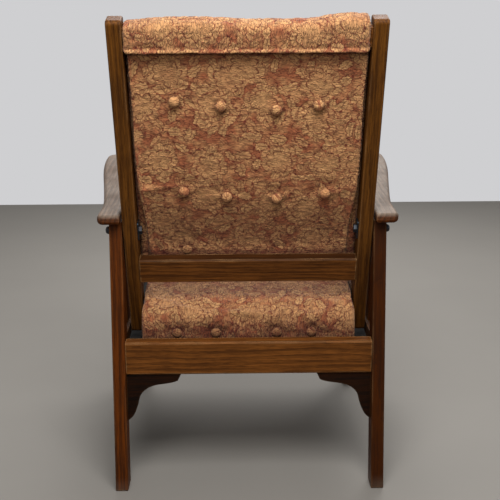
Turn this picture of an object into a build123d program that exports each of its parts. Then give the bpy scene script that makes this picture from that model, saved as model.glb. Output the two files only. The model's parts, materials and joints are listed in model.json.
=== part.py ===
from build123d import *

import os
from math import cos, radians, sin, tan

# A mission reclining armchair, in millimetres. The floor is at z = 0, the sitter faces -Y and the
# sitter's left is +X. The origin is on the floor, under the middle of the chair's depth.

# Overall
overall_depth = 672
half_depth = overall_depth / 2
edge_radius = 2.5

# Heights of the rails, and of the seat frame and pad at their rear, which carry everything above
rail_height = 75
rail_top = 332
rail_bottom = rail_top - rail_height
seat_base_sink = 31.7
seat_base_height = rail_top - seat_base_sink
seat_bar_height = 34
strap_thickness = 1.2
pad_gap = 0.3
seat_pad_crown = 82
seat_pad_top = seat_base_height + seat_bar_height + strap_thickness * 2 + pad_gap + seat_pad_crown

# The back and its pivot
pivot_above_seat_pad = 153.5
pivot_height = seat_pad_top + pivot_above_seat_pad
back_lean = 15.4
recline_travel = 20
stile_thickness = 30
stile_depth = 45
stile_rise = 460
foot_pin_lift = 49.5
foot_pin_drop = (pivot_height - seat_base_height - foot_pin_lift) / cos(radians(back_lean))
stile_foot_below_pin = 25
stile_drop = foot_pin_drop + stile_foot_below_pin
stile_inner_x = 238
stile_outer_x = stile_inner_x + stile_thickness
stile_top_radius = 9
stile_foot_radius = 8
stile_edge_radius = 3
stile_top_reach = (stile_rise - stile_top_radius) * sin(radians(back_lean)) + stile_top_radius
stile_half_reach = (stile_depth / 2 - stile_top_radius) * cos(radians(back_lean))
pivot_y = half_depth - stile_top_reach - stile_half_reach

# Legs
stile_to_leg_gap = 2
leg_thickness = 28
leg_depth = 45
rear_leg_rake = 8.4
leg_inner_x = stile_outer_x + stile_to_leg_gap
leg_outer_x = leg_inner_x + leg_thickness
leg_centre_x = leg_inner_x + leg_thickness / 2
arm_front_overhang = 25
front_leg_front_y = -half_depth + arm_front_overhang
front_leg_rear_y = front_leg_front_y + leg_depth
front_leg_y = front_leg_front_y + leg_depth / 2
foot_chamfer = 3

# Arms
arm_slope = 4.1
arm_thickness = 21.5
arm_above_pivot = 20.5
arm_height = pivot_height + arm_above_pivot
arm_rear_reach = 45
arm_rear_y = pivot_y + arm_rear_reach
arm_length = (arm_rear_y + half_depth) / cos(radians(arm_slope))
arm_gap_to_stile = 4
arm_inner_x = stile_outer_x + arm_gap_to_stile
arm_front_inset = 10
arm_rear_width = 48
arm_front_width = 111
arm_rear_corner = 14
arm_front_corner = 26
arm_inner_corner = 12
arm_edge_radius = 8
arm_tenon_length = 13
arm_tenon_shoulder = 5
# The outer edge, as shares of the arm's length from its rear end and of the growth in its width
arm_edge_shares = ((0.14, -0.02), (0.32, 0.19), (0.45, 0.4), (0.59, 0.635), (0.77, 0.9), (0.89, 0.998))

# Seat rails
cross_rail_thickness = 28
side_rail_thickness = 22
rear_rail_inset = 2.3
leg_run_to_rail = (pivot_height - rail_top) * tan(radians(rear_leg_rake))
rear_rail_rear_y = pivot_y + leg_run_to_rail + leg_depth / 2 / cos(radians(rear_leg_rake)) - rear_rail_inset
rail_chamfer = 3
rail_tenon_length = 16
rail_tenon_thickness = 12
rail_tenon_shoulder = 10
side_tenon_thickness = 10
tenon_wall = 2
rear_rail_front_y = rear_rail_rear_y - cross_rail_thickness
front_rail_inset = 8
front_rail_front_y = front_leg_front_y + front_rail_inset
front_rail_rear_y = front_rail_front_y + cross_rail_thickness
seat_slope = 4.1
seat_behind_pivot = 6
seat_rear_y = pivot_y + seat_behind_pivot
front_rail_clearance = 2.4
front_rail_top = seat_base_height + (seat_rear_y - front_rail_rear_y) * tan(radians(seat_slope))
front_rail_top -= front_rail_clearance
front_rail_bottom = front_rail_top - rail_height
side_rail_inner_x = leg_centre_x - side_rail_thickness / 2

# Side slats
slat_count = 3
slat_width = 55
slat_thickness = 10
slat_housing = 8
slat_edge_radius = 1.5

# Corner brackets
bracket_width = 122
bracket_drop = 108
bracket_thickness = 20
rear_bracket_inset = 18
front_bracket_inset = 6
bracket_end_shares = ((1, 0), (0.926, 0.176))
bracket_curve_shares = ((0.689, 0.241), (0.418, 0.306), (0.254, 0.463), (0.197, 0.648), (0.123, 0.88))
bracket_tip_shares = ((0.016, 1), (0, 1), (0, 0))
bracket_screw_out_share = 0.62
bracket_screw_down_share = 0.68
bracket_rail_screw_share = 0.225
bracket_leg_screw_share = 0.16

# Pivot bolts and their plates
bolt_radius = 5
bolt_head_radius = 8.5
bolt_head_height = 10
bolt_head_rounding = 6.5
running_clearance = 0.06
washer_radius = 12
washer_play = 0.2
pivot_plate_thickness = 2.4
pivot_plate_width = 24
pivot_plate_height = 42
pivot_plate_screw_edge = 6
plate_corner = 4
nut_width = 17
nut_height = 6
nut_gap = 0.3
foot_pin_radius = 5
foot_pin_recess = 0.3

# Screws
screw_radius = 2
screw_head_radius = 4
screw_head_height = 2.2
screw_length = 22
bracket_screw_length = 42

# Seat frame, which glides on the runners
seat_glide_gap = 0.3
seat_front_proud = 0.5
seat_frame_length = (seat_rear_y - front_rail_front_y + seat_front_proud) / cos(radians(seat_slope))
seat_bar_thickness = 28
slot_plate_thickness = 3
slot_plate_gap = 1
slot_plate_width = 38
slot_plate_margin = 9
slot_play = 0.35
slot_plate_foot = 4
slot_plate_screw_heights = (10, 25)
travel_steps = 10
seat_side_outer_x = stile_inner_x - slot_plate_gap - slot_plate_thickness
seat_side_inner_x = seat_side_outer_x - seat_bar_thickness
dowel_radius = 4
dowel_length = 36
dowel_spacing = 16

# Seat runners
runner_thickness = 22
runner_housing = 4
runner_end_gap = 3

# Seat webbing
strap_width = 50
strap_count = 4
cross_strap_count = 4
strap_lap = 20

# Seat pad
seat_pad_side_gap = 0.5
seat_pad_half_width = seat_side_outer_x - seat_pad_side_gap
seat_pad_skirt_foot = 8
seat_pad_rear_overhang = 14
seat_pad_front_overhang = 14
seat_pad_slope_run = 78
seat_pad_front_run = 50
seat_pad_shoulder_share = 0.955
seat_pad_bulge_share = 0.7
seat_pad_rear_bow_share = 0.29
seat_pad_front_bow_share = 0.2
# Across the pad: place as a share of the half width, height as a share of the crown
seat_pad_station_shares = ((0, 1), (0.45, 0.99), (0.75, 0.93), (0.92, 0.78), (1, 0.5))
seat_pad_draw_in = 5
seat_tuft_depth = 9
seat_tuft_radius = 62
seat_rear_tuft_depth = 8
seat_rear_tuft_lift = 6
seat_button_row_shares = (0.37, 0.69)
seat_button_place_shares = (-0.6, -0.27, 0.31, 0.68)

# Back rails
lower_rail_height = 58
lower_rail_thickness = 25.5
lower_rail_drop = 65
lower_rail_top = -lower_rail_drop
top_rail_height = 38
top_rail_thickness = 26
top_rail_below_top = 17
stile_tenon_length = 14
stile_tenon_thickness = 10
stile_tenon_shoulder = 8

# Roll of fabric over the top rail
roll_end_gap = 2
roll_half_width = stile_inner_x - roll_end_gap
roll_hem_below_top = 61.2
roll_hem = stile_rise - roll_hem_below_top
roll_lap = 6
roll_rear_proud = 2.5
roll_flap_thickness = 5
roll_front_depth = 40
roll_shoulder_drop = 26
roll_top_proud = 3
roll_top = stile_rise + roll_top_proud
roll_station_shares = ((0, 1), (0.6, 0.985), (1, 0.94))

# Back pad
back_pad_side_gap = 9.5
back_pad_half_width = stile_inner_x - back_pad_side_gap
back_pad_above_seat_pad = 18.5
back_pad_bottom = -(pivot_above_seat_pad - back_pad_above_seat_pad) / cos(radians(back_lean))
back_pad_rear_recess = 4.5
back_pad_front = 62
back_pad_edge_front = 34
back_pad_edge_rear_recess = 8
back_pad_turn_top = 110
back_pad_rail_gap = 0.5
back_pad_station_shares = ((0, 1), (0.4, 0.97), (0.75, 0.8), (0.92, 0.45), (1, 0))
back_pad_bottom_round = 16
back_pad_low_front_share = 0.85
back_pad_top_front_share = 0.8
back_pad_turn_share = 0.67
back_tuft_depth = 6.5
back_tuft_radius = 60
front_tuft_depth = 10
# Buttons tied by hand: place across as a share of the pad's half width, then height above the pivot as a
# share of the stile's rise. Two rows go right through the pad and sag a little in the middle, the lowest
# front row is full, and behind it one button shows above the lower rail.
back_button_shares = ((-0.618, 0.6261), (-0.251, 0.6054), (0.233, 0.6239), (0.638, 0.6457),
                      (-0.71, 0.1967), (-0.267, 0.1739), (0.193, 0.1837), (0.586, 0.212))
back_low_front_button_shares = ((-0.65, -0.1134), (-0.26, -0.1134), (0.21, -0.1134), (0.595, -0.1134))
back_low_rear_button_shares = ((0.586, -0.106),)

# Covered buttons
button_radius = 10.5
button_height = 6
button_rounding = 4.5

pivot_place = Pos(0, pivot_y, pivot_height)
back_place = pivot_place * Rot(-back_lean, 0, 0)
leg_place = pivot_place * Rot(rear_leg_rake, 0, 0)
arm_place = Pos(0, arm_rear_y, arm_height) * Rot(-arm_slope, 0, 0)
seat_place = Pos(0, seat_rear_y, seat_base_height) * Rot(-seat_slope, 0, 0)


def block(x_span, y_span, z_span):
    """A box between two values on each axis."""
    size = [high - low for low, high in (x_span, y_span, z_span)]
    middle = [(high + low) / 2 for low, high in (x_span, y_span, z_span)]
    return Pos(*middle) * Box(*size)


def rod(x_span, radius, y=0, z=0):
    """A round bar along X."""
    low, high = x_span
    return Pos((low + high) / 2, y, z) * Rot(0, 90, 0) * Cylinder(radius, high - low)


def softened(solid, axis, radius):
    """The solid with its edges along one axis rounded."""
    return fillet(solid.edges().filter_by(axis), radius)


def mirrored(solid):
    """The same piece for the sitter's right."""
    return mirror(solid, about=Plane.YZ)


def plane_at(place):
    """The plane that a placed XY plane becomes."""
    return Plane(place)


def along_arm(start, rake):
    """Distance from the arm's rear end, forwards along its underside, to a post rising from start."""
    normal = Vector(0, sin(radians(arm_slope)), cos(radians(arm_slope)))
    forward = Vector(0, -cos(radians(arm_slope)), sin(radians(arm_slope)))
    rise = Vector(0, -sin(radians(rake)), cos(radians(rake)))
    corner = Vector(0, arm_rear_y, arm_height)
    reach = (corner - start).dot(normal) / rise.dot(normal)
    return (start + rise * reach - corner).dot(forward)


def arm_tenon(distance):
    """The tenon on top of a leg, square to the arm."""
    half_y = leg_depth / 2 - arm_tenon_shoulder
    x_span = (leg_inner_x + arm_tenon_shoulder, leg_outer_x - arm_tenon_shoulder)
    tenon = block(x_span, (-half_y - distance, half_y - distance), (-arm_tenon_length, arm_tenon_length))
    return arm_place * tenon


def make_rear_leg():
    """A raked post through the pivot, cut off at the floor and under the arm."""
    reach = pivot_height + leg_depth
    post = block((leg_inner_x, leg_outer_x), (-leg_depth / 2, leg_depth / 2), (-reach, leg_depth))
    post = split(leg_place * post, bisect_by=Plane.XY, keep=Keep.TOP)
    post = chamfer(post.faces().sort_by(Axis.Z)[0].edges(), foot_chamfer)
    upward = Axis((0, 0, 0), (0, -sin(radians(rear_leg_rake)), cos(radians(rear_leg_rake))))
    post = softened(post, upward, edge_radius)
    post = split(post, bisect_by=plane_at(arm_place), keep=Keep.BOTTOM)
    distance = along_arm(Vector(0, pivot_y, pivot_height), rear_leg_rake)
    bolt_hole = rod((leg_inner_x, leg_outer_x), bolt_radius + running_clearance, pivot_y, pivot_height)
    return post + arm_tenon(distance) - bolt_hole


def make_front_leg():
    """An upright post under the front of the arm."""
    post = block((leg_inner_x, leg_outer_x), (front_leg_front_y, front_leg_rear_y),
                 (0, arm_height + arm_length))
    post = chamfer(post.faces().sort_by(Axis.Z)[0].edges(), foot_chamfer)
    post = softened(post, Axis.Z, edge_radius)
    post = split(post, bisect_by=plane_at(arm_place), keep=Keep.BOTTOM)
    return post + arm_tenon(along_arm(Vector(0, front_leg_y, 0), 0))


def arm_outline():
    """The paddle's outline, narrow and waisted behind and flared at the front."""
    rear_outer_x = arm_inner_x + arm_rear_width
    front_inner_x = arm_inner_x - arm_front_inset
    front_outer_x = front_inner_x + arm_front_width
    growth = front_outer_x - rear_outer_x
    edge = [(rear_outer_x, -arm_rear_corner)]
    edge += [(rear_outer_x + grow * growth, -along * arm_length) for along, grow in arm_edge_shares]
    front_corner_y = -arm_length + arm_front_corner
    edge.append((front_outer_x, front_corner_y))
    outer = Spline(*edge, tangents=[(0, -1), (0, -1)])
    bend = sin(radians(45))
    front_arc = ThreePointArc(
        (front_outer_x, front_corner_y),
        (front_outer_x - arm_front_corner * (1 - bend), front_corner_y - arm_front_corner * bend),
        (front_outer_x - arm_front_corner, -arm_length))
    inner_turn = (front_inner_x, -arm_length + arm_inner_corner)
    front_line = Line(front_arc @ 1, (front_inner_x + arm_inner_corner, -arm_length))
    inner_arc = ThreePointArc(
        front_line @ 1,
        (front_inner_x + arm_inner_corner * (1 - bend), -arm_length + arm_inner_corner * (1 - bend)),
        inner_turn)
    inner_line = Polyline(inner_turn, (arm_inner_x, -arm_length / 2), (arm_inner_x, 0))
    rear_line = Line((arm_inner_x, 0), (rear_outer_x - arm_rear_corner, 0))
    rear_arc = ThreePointArc(
        rear_line @ 1,
        (rear_outer_x - arm_rear_corner * (1 - bend), -arm_rear_corner * (1 - bend)),
        (rear_outer_x, -arm_rear_corner))
    return make_face(outer + front_arc + front_line + inner_arc + inner_line + rear_line + rear_arc)


def make_arm():
    """A flat paddle with softened edges, in its place on the legs."""
    board = extrude(arm_outline(), arm_thickness)
    rims = board.faces().sort_by(Axis.Z)[0].edges() + board.faces().sort_by(Axis.Z)[-1].edges()
    return arm_place * fillet(rims, arm_edge_radius)


def cross_rail(half_width, y_span, z_span, tenon_length, tenon_thickness, tenon_shoulder):
    """A rail along X with a tenon at each end."""
    body = block((-half_width, half_width), y_span, z_span)
    middle_y = sum(y_span) / 2
    tenon_y = (middle_y - tenon_thickness / 2, middle_y + tenon_thickness / 2)
    tenon_z = (z_span[0] + tenon_shoulder, z_span[1] - tenon_shoulder)
    reach = half_width + tenon_length
    return body, block((-reach, reach), tenon_y, tenon_z)


def make_rear_rail():
    """The rail that shows under the back, with its top rear edge eased."""
    body, tenons = cross_rail(leg_inner_x, (rear_rail_front_y, rear_rail_rear_y), (rail_bottom, rail_top),
                              rail_tenon_length, rail_tenon_thickness, rail_tenon_shoulder)
    eased = body.edges().filter_by(Axis.X).group_by(Axis.Y)[-1]
    return chamfer(eased, rail_chamfer) + tenons


def make_front_rail():
    """The rail under the seat's front edge."""
    body, tenons = cross_rail(leg_inner_x, (front_rail_front_y, front_rail_rear_y),
                              (front_rail_bottom, front_rail_top),
                              rail_tenon_length, rail_tenon_thickness, rail_tenon_shoulder)
    eased = body.edges().filter_by(Axis.X).group_by(Axis.Y)[0]
    return chamfer(eased, rail_chamfer) + tenons


def make_side_rail():
    """The rail between a rear leg and a front leg, with a tenon in each."""
    x_span = (side_rail_inner_x, side_rail_inner_x + side_rail_thickness)
    body = block(x_span, (front_leg_rear_y, rear_rail_rear_y), (rail_bottom, rail_top))
    leg_front = plane_at(leg_place * Pos(0, -leg_depth / 2, 0) * Rot(90, 0, 0))
    body = split(body, bisect_by=leg_front, keep=Keep.TOP)
    rear_middle = (rear_rail_front_y + rear_rail_rear_y) / 2
    front_middle = (front_rail_front_y + front_rail_rear_y) / 2
    rear_stop = rear_middle - rail_tenon_thickness / 2 - tenon_wall
    front_stop = front_middle + rail_tenon_thickness / 2 + tenon_wall
    tenon_x = (leg_centre_x - side_tenon_thickness / 2, leg_centre_x + side_tenon_thickness / 2)
    tenon_z = (rail_bottom + rail_tenon_shoulder, rail_top - rail_tenon_shoulder)
    return body + block(tenon_x, (front_stop, rear_stop), tenon_z)


def slat_places():
    """The slats' middles, spread evenly between the legs."""
    rear_face = pivot_y + leg_run_to_rail - leg_depth / 2
    pitch = (rear_face - front_leg_rear_y) / (slat_count + 1)
    return [front_leg_rear_y + pitch * (number + 1) for number in range(slat_count)]


def make_slat(middle_y):
    """An upright slat, housed in the side rail and in the arm."""
    x_span = (leg_centre_x - slat_thickness / 2, leg_centre_x + slat_thickness / 2)
    y_span = (middle_y - slat_width / 2, middle_y + slat_width / 2)
    slat = block(x_span, y_span, (rail_top - slat_housing, arm_height + arm_length))
    slat = softened(slat, Axis.Z, slat_edge_radius)
    return split(slat, bisect_by=plane_at(arm_place * Pos(0, 0, slat_housing)), keep=Keep.BOTTOM)


def bracket_outline():
    """The ogee outline of a corner bracket, from its corner at the origin, outwards and down."""
    def place(shares):
        return [(-out * bracket_width, -down * bracket_drop) for out, down in shares]

    start, bevel = place(bracket_end_shares)
    tip, foot, corner = place(bracket_tip_shares)
    curve = Spline(bevel, *place(bracket_curve_shares), tip)
    lines = Polyline(tip, foot, corner, start, bevel)
    return make_face(curve + lines)


def make_bracket_blank():
    """A bracket about its inner corner, with its thickness from y = 0 forwards."""
    face = Plane.XZ * bracket_outline()
    return extrude(face, bracket_thickness, dir=(0, -1, 0))


def bracket_screw_places():
    """Places, in a bracket's own frame, of its screw into the rail and its screw into the leg."""
    out = bracket_width * bracket_screw_out_share
    down = bracket_drop * bracket_screw_down_share
    rail_face = bracket_drop * bracket_rail_screw_share
    leg_face = bracket_width * bracket_leg_screw_share
    up_screw = Pos(-out, -bracket_thickness / 2, -rail_face)
    side_screw = Pos(-leg_face, -bracket_thickness / 2, -down) * Rot(0, 90, 0)
    return up_screw, side_screw


def screw(length):
    """A countersunk wood screw along +Z, with its head's face at z = 0."""
    head = Pos(0, 0, screw_head_height / 2) * Cone(screw_head_radius, screw_radius, screw_head_height)
    shank_length = length - screw_head_height
    shank = Pos(0, 0, screw_head_height + shank_length / 2) * Cylinder(screw_radius, shank_length)
    return head + shank


def screw_hole(length):
    """The hole that a screw fills, open behind its head."""
    mouth = Pos(0, 0, -length / 2) * Cylinder(screw_head_radius, length)
    return screw(length) + mouth


def make_runner():
    """A ledge for the seat and the stile's foot to pass over, let into the side rail."""
    x_span = (seat_side_inner_x, side_rail_inner_x + runner_housing)
    reach = seat_frame_length + seat_rear_y
    ledge = block(x_span, (-reach, reach), (-seat_glide_gap - runner_thickness, -seat_glide_gap))
    ledge = seat_place * ledge
    leg_front = plane_at(leg_place * Pos(0, -leg_depth / 2 - runner_end_gap, 0) * Rot(90, 0, 0))
    ledge = split(ledge, bisect_by=leg_front, keep=Keep.TOP)
    front_stop = Plane(origin=(0, front_leg_rear_y + runner_end_gap, 0), z_dir=(0, 1, 0))
    return split(ledge, bisect_by=front_stop, keep=Keep.TOP)


def make_pivot_bolt():
    """A bolt with a domed head outside the leg, through the leg, the stile and the nut."""
    head = rod((leg_outer_x, leg_outer_x + bolt_head_height), bolt_head_radius)
    head = fillet(head.edges().group_by(Axis.X)[-1], bolt_head_rounding)
    return pivot_place * (head + rod((nut_inner_x(), leg_outer_x), bolt_radius))


def nut_inner_x():
    """The inner end of the pivot nut and bolt."""
    return stile_inner_x - pivot_plate_thickness - nut_gap - nut_height


def make_pivot_nut():
    """A hexagon nut that holds the stile on the bolt."""
    hexagon = RegularPolygon(nut_width / 2, 6, major_radius=False) - Circle(bolt_radius)
    nut = extrude(Plane.YZ.offset(nut_inner_x()) * hexagon, nut_height, dir=(1, 0, 0))
    return pivot_place * nut


def make_pivot_washer():
    """A flat washer that keeps the stile off the leg."""
    x_span = (stile_outer_x + washer_play, leg_inner_x - washer_play)
    return pivot_place * (rod(x_span, washer_radius) - rod(x_span, bolt_radius + running_clearance))


def make_stile():
    """An upright of the back, with its pivot hole and the hole for its foot pin."""
    half = stile_depth / 2
    stile = block((stile_inner_x, stile_outer_x), (-half, half), (-stile_drop, stile_rise))
    stile = fillet(stile.faces().sort_by(Axis.Z)[-1].edges().filter_by(Axis.X), stile_top_radius)
    stile = fillet(stile.faces().sort_by(Axis.Z)[0].edges().filter_by(Axis.X), stile_foot_radius)
    sides = stile.faces().sort_by(Axis.X)
    stile = fillet(sides[0].edges() + sides[-1].edges(), stile_edge_radius)
    x_span = (stile_inner_x, stile_outer_x)
    pivot_hole = rod(x_span, bolt_radius + running_clearance)
    pin_hole = rod(x_span, foot_pin_radius + running_clearance, 0, -foot_pin_drop)
    return stile - pivot_hole - pin_hole


def make_foot_pin():
    """An iron pin through the stile's foot, which ends inside the slot plate."""
    tip = seat_side_outer_x + foot_pin_recess
    return rod((tip, stile_outer_x), foot_pin_radius, 0, -foot_pin_drop)


def plate_blank(width, low, high, middle=0):
    """A plate in the YZ plane with rounded corners, as a face."""
    face = Pos(middle, (low + high) / 2) * RectangleRounded(width, high - low, plate_corner)
    return Plane.YZ * face


def pivot_plate_screw_places():
    """Screw places on a pivot plate, above and below the bolt, pointing outwards."""
    lift = pivot_plate_height / 2 - pivot_plate_screw_edge
    face_x = stile_inner_x - pivot_plate_thickness
    return [Pos(face_x, 0, side * lift) * Rot(0, 90, 0) for side in (-1, 1)]


def make_pivot_plate():
    """An iron plate on the stile's inner face, round the bolt."""
    half = pivot_plate_height / 2
    face = Pos(stile_inner_x - pivot_plate_thickness, 0, 0) * plate_blank(pivot_plate_width, -half, half)
    plate = extrude(face, pivot_plate_thickness, dir=(1, 0, 0))
    return plate - rod((nut_inner_x(), stile_outer_x), bolt_radius + running_clearance)


def make_lower_rail():
    """The rail across the back below the pivots, flush with the stiles' rear faces."""
    half = stile_depth / 2
    body, tenons = cross_rail(stile_inner_x, (half - lower_rail_thickness, half),
                              (lower_rail_top - lower_rail_height, lower_rail_top),
                              stile_tenon_length, stile_tenon_thickness, stile_tenon_shoulder)
    eased = body.edges().filter_by(Axis.X).group_by(Axis.Y)[-1]
    return chamfer(eased, rail_chamfer) + tenons


def top_rail_span():
    """The height of the top rail's underside and top above the pivot."""
    top = stile_rise - top_rail_below_top
    return top - top_rail_height, top


def make_top_rail():
    """The rail inside the roll of fabric."""
    half = top_rail_thickness / 2
    body, tenons = cross_rail(stile_inner_x, (-half, half), top_rail_span(),
                              stile_tenon_length, stile_tenon_thickness, stile_tenon_shoulder)
    return body + tenons


def section(x, lines, arcs_first):
    """A closed face at one x, from arcs of three points and then straight lines, in Y and Z."""
    plane = Plane.YZ.offset(x)
    edges = [ThreePointArc(*points) for points in arcs_first]
    edges += [Line(start, end) for start, end in zip(lines[:-1], lines[1:])]
    return plane * make_face(edges)


def lofted(section_at, half_width, stations):
    """A soft body through its sections on both sides of the middle."""
    right = [section_at(-place * half_width, share) for place, share in reversed(stations[1:])]
    left = [section_at(place * half_width, share) for place, share in stations]
    return loft(right + left)


def make_roll():
    """Fabric rolled over the top rail, with a flap down its rear side."""
    rear = stile_depth / 2 + roll_rear_proud
    inner = stile_depth / 2 + roll_rear_proud - roll_flap_thickness
    base = roll_hem + roll_lap

    def section_at(x, share):
        top = base + (roll_top - base) * share
        shoulder = top - roll_shoulder_drop
        middle = (rear * share - roll_front_depth * share) / 2
        crown = (rear * share, shoulder), (middle, top), (-roll_front_depth * share, shoulder)
        outline = [crown[2], (-roll_front_depth * share, base), (inner * share, base),
                   (inner * share, roll_hem), (rear * share, roll_hem), crown[0]]
        return section(x, outline, [crown])

    roll = lofted(section_at, roll_half_width, roll_station_shares)
    half = top_rail_thickness / 2
    return roll - block((-stile_inner_x, stile_inner_x), (-half, half), top_rail_span())


def make_back_pad():
    """The buttoned pad between the stiles, hung from the top and passing in front of the lower rail."""
    half = stile_depth / 2
    behind_rail = half - lower_rail_thickness - back_pad_rail_gap
    top = roll_hem + roll_lap - pad_gap

    def section_at(x, share):
        rear = half - back_pad_edge_rear_recess
        rear += (back_pad_edge_rear_recess - back_pad_rear_recess) * share
        front = -back_pad_edge_front - (back_pad_front - back_pad_edge_front) * share
        low = (front + behind_rail) / 2
        turn_low = lower_rail_top + rail_chamfer
        turn_middle = behind_rail + (rear - behind_rail) * back_pad_turn_share
        turn = (rear, back_pad_turn_top), (turn_middle, (back_pad_turn_top + turn_low) / 2), \
            (behind_rail, turn_low)
        under = (behind_rail, back_pad_bottom + back_pad_bottom_round), (low, back_pad_bottom), \
            (front * back_pad_low_front_share, back_pad_bottom + back_pad_bottom_round * 2)
        top_front = -roll_front_depth * back_pad_top_front_share
        belly = under[2], (front, (top + back_pad_bottom) / 2), (top_front, top)
        edges = [ThreePointArc(*turn), Line(turn[2], under[0]), ThreePointArc(*under), ThreePointArc(*belly),
                 Line(belly[2], (rear, top)), Line((rear, top), turn[0])]
        return Plane.YZ.offset(x) * make_face(edges)

    return lofted(section_at, back_pad_half_width, back_pad_station_shares)


def make_seat_pad():
    """The crowned pad on the seat frame, with a skirt over its front and rear bars."""
    under = seat_bar_height + strap_thickness * 2 + pad_gap

    def section_at(x, share):
        draw = seat_pad_draw_in * (1 - share)
        crown = under + seat_pad_crown * share
        shoulder = under + seat_pad_crown * share * seat_pad_shoulder_share
        rear = seat_pad_rear_overhang - draw
        front = -seat_frame_length - seat_pad_front_overhang + draw
        bulge = under + (shoulder - under) * seat_pad_bulge_share
        rear_arc = (rear, under), (rear - seat_pad_slope_run * seat_pad_rear_bow_share, bulge), \
            (rear - seat_pad_slope_run, shoulder)
        front_arc = (front + seat_pad_front_run, shoulder), \
            (front + seat_pad_front_run * seat_pad_front_bow_share, bulge), (front, under)
        middle = (rear_arc[2][0] + front_arc[0][0]) / 2
        crown_arc = rear_arc[2], (middle, crown), front_arc[0]
        lines = [front_arc[2], (front, seat_pad_skirt_foot),
                 (-seat_frame_length - pad_gap, seat_pad_skirt_foot),
                 (-seat_frame_length - pad_gap, under), (pad_gap, under), (pad_gap, seat_pad_skirt_foot),
                 (rear, seat_pad_skirt_foot), rear_arc[0]]
        return section(x, lines, [rear_arc, crown_arc, front_arc])

    return lofted(section_at, seat_pad_half_width, seat_pad_station_shares)


def make_button():
    """A covered button, domed, on its flat base at z = 0."""
    button = Pos(0, 0, button_height / 2) * Cylinder(button_radius, button_height)
    return fillet(button.edges().group_by(Axis.Z)[-1], button_rounding)


def tufted(pad, points, inward, depth, ball_radius):
    """The pad with a dimple at each point, and the buttons seated in the dimples."""
    inward = Vector(*inward)
    rim_sag = ball_radius - (ball_radius ** 2 - button_radius ** 2) ** 0.5
    buttons = []
    balls = []
    for point in points:
        hit, _ = pad.find_intersection_points(Axis(point, inward))[0]
        balls.append(Pos(hit + inward * (depth - ball_radius)) * Sphere(ball_radius))
        seat = Plane(hit + inward * (depth - rim_sag), z_dir=-inward)
        buttons.append(Location(seat) * make_button())
    return pad - balls, buttons


def pin_in_seat(angle, slide):
    """Where the foot pin stands in the seat's own frame, for a recline angle and a slide."""
    lean = radians(back_lean + angle)
    rearward = pivot_y - foot_pin_drop * sin(lean) - seat_rear_y
    upward = pivot_height - foot_pin_drop * cos(lean) - seat_base_height
    tilt = radians(seat_slope)
    along = rearward * cos(tilt) - upward * sin(tilt) + slide
    lift = rearward * sin(tilt) + upward * cos(tilt)
    return along, lift


def full_slide():
    """How far the seat glides while the back goes through its whole travel."""
    return pin_in_seat(0, 0)[0] - pin_in_seat(recline_travel, 0)[0]


def slot_numbers():
    """The slot's middle, its half width and its lowest and highest pin places, in the seat's frame."""
    angles = [recline_travel * step / travel_steps for step in range(travel_steps + 1)]
    places = [pin_in_seat(angle, full_slide() * angle / recline_travel) for angle in angles]
    low = min(along for along, _ in places)
    high = max(along for along, _ in places)
    half_width = (high - low) / 2 + foot_pin_radius + slot_play
    lifts = [lift for _, lift in places]
    return (low + high) / 2, half_width, min(lifts), max(lifts)


def make_slot_plate():
    """An iron plate on the seat frame's side, with the upright slot that the foot pin pushes."""
    middle, half_width, low, high = slot_numbers()
    outline = plate_blank(slot_plate_width, slot_plate_foot, high + half_width + slot_plate_margin, middle)
    slot = Pos(middle, (low + high) / 2) * Rot(0, 0, 90) * SlotCenterToCenter(high - low, half_width * 2)
    face = Pos(seat_side_outer_x, 0, 0) * (outline - Plane.YZ * slot)
    return extrude(face, slot_plate_thickness, dir=(1, 0, 0))


def slot_plate_screw_places():
    """Screw places on a slot plate, pointing inwards into the seat's side."""
    middle = slot_numbers()[0]
    face_x = seat_side_outer_x + slot_plate_thickness
    return [Pos(face_x, middle, height) * Rot(0, -90, 0) for height in slot_plate_screw_heights]


def make_seat_side():
    """A side of the seat frame."""
    return block((seat_side_inner_x, seat_side_outer_x), (-seat_frame_length, 0), (0, seat_bar_height))


def make_seat_bar(front_y):
    """A cross bar of the seat frame."""
    y_span = (front_y, front_y + seat_bar_thickness)
    return block((-seat_side_inner_x, seat_side_inner_x), y_span, (0, seat_bar_height))


def seat_dowels():
    """Dowels across the four joints of the seat frame."""
    dowels = []
    for front_y in (-seat_frame_length, -seat_bar_thickness):
        middle_y = front_y + seat_bar_thickness / 2
        for lift in (-dowel_spacing / 2, dowel_spacing / 2):
            for side in (-1, 1):
                middle_x = side * seat_side_inner_x
                x_span = (middle_x - dowel_length / 2, middle_x + dowel_length / 2)
                dowels.append(rod(x_span, dowel_radius, middle_y, seat_bar_height / 2 + lift))
    return dowels


def seat_straps():
    """Webbing straps from front to rear on the frame, and straps across on top of them."""
    base = seat_bar_height
    clear_width = seat_side_inner_x * 2
    pitch = clear_width / strap_count
    lengthwise = []
    for number in range(strap_count):
        middle = -seat_side_inner_x + pitch * (number + 1 / 2)
        x_span = (middle - strap_width / 2, middle + strap_width / 2)
        y_span = (-seat_frame_length + seat_bar_thickness - strap_lap, -seat_bar_thickness + strap_lap)
        lengthwise.append(block(x_span, y_span, (base, base + strap_thickness)))
    clear_length = seat_frame_length - seat_bar_thickness * 2
    pitch = clear_length / cross_strap_count
    across = []
    for number in range(cross_strap_count):
        middle = -seat_bar_thickness - pitch * (number + 1 / 2)
        y_span = (middle - strap_width / 2, middle + strap_width / 2)
        x_span = (-seat_side_inner_x - strap_lap, seat_side_inner_x + strap_lap)
        across.append(block(x_span, y_span, (base + strap_thickness, base + strap_thickness * 2)))
    return lengthwise, across


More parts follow.
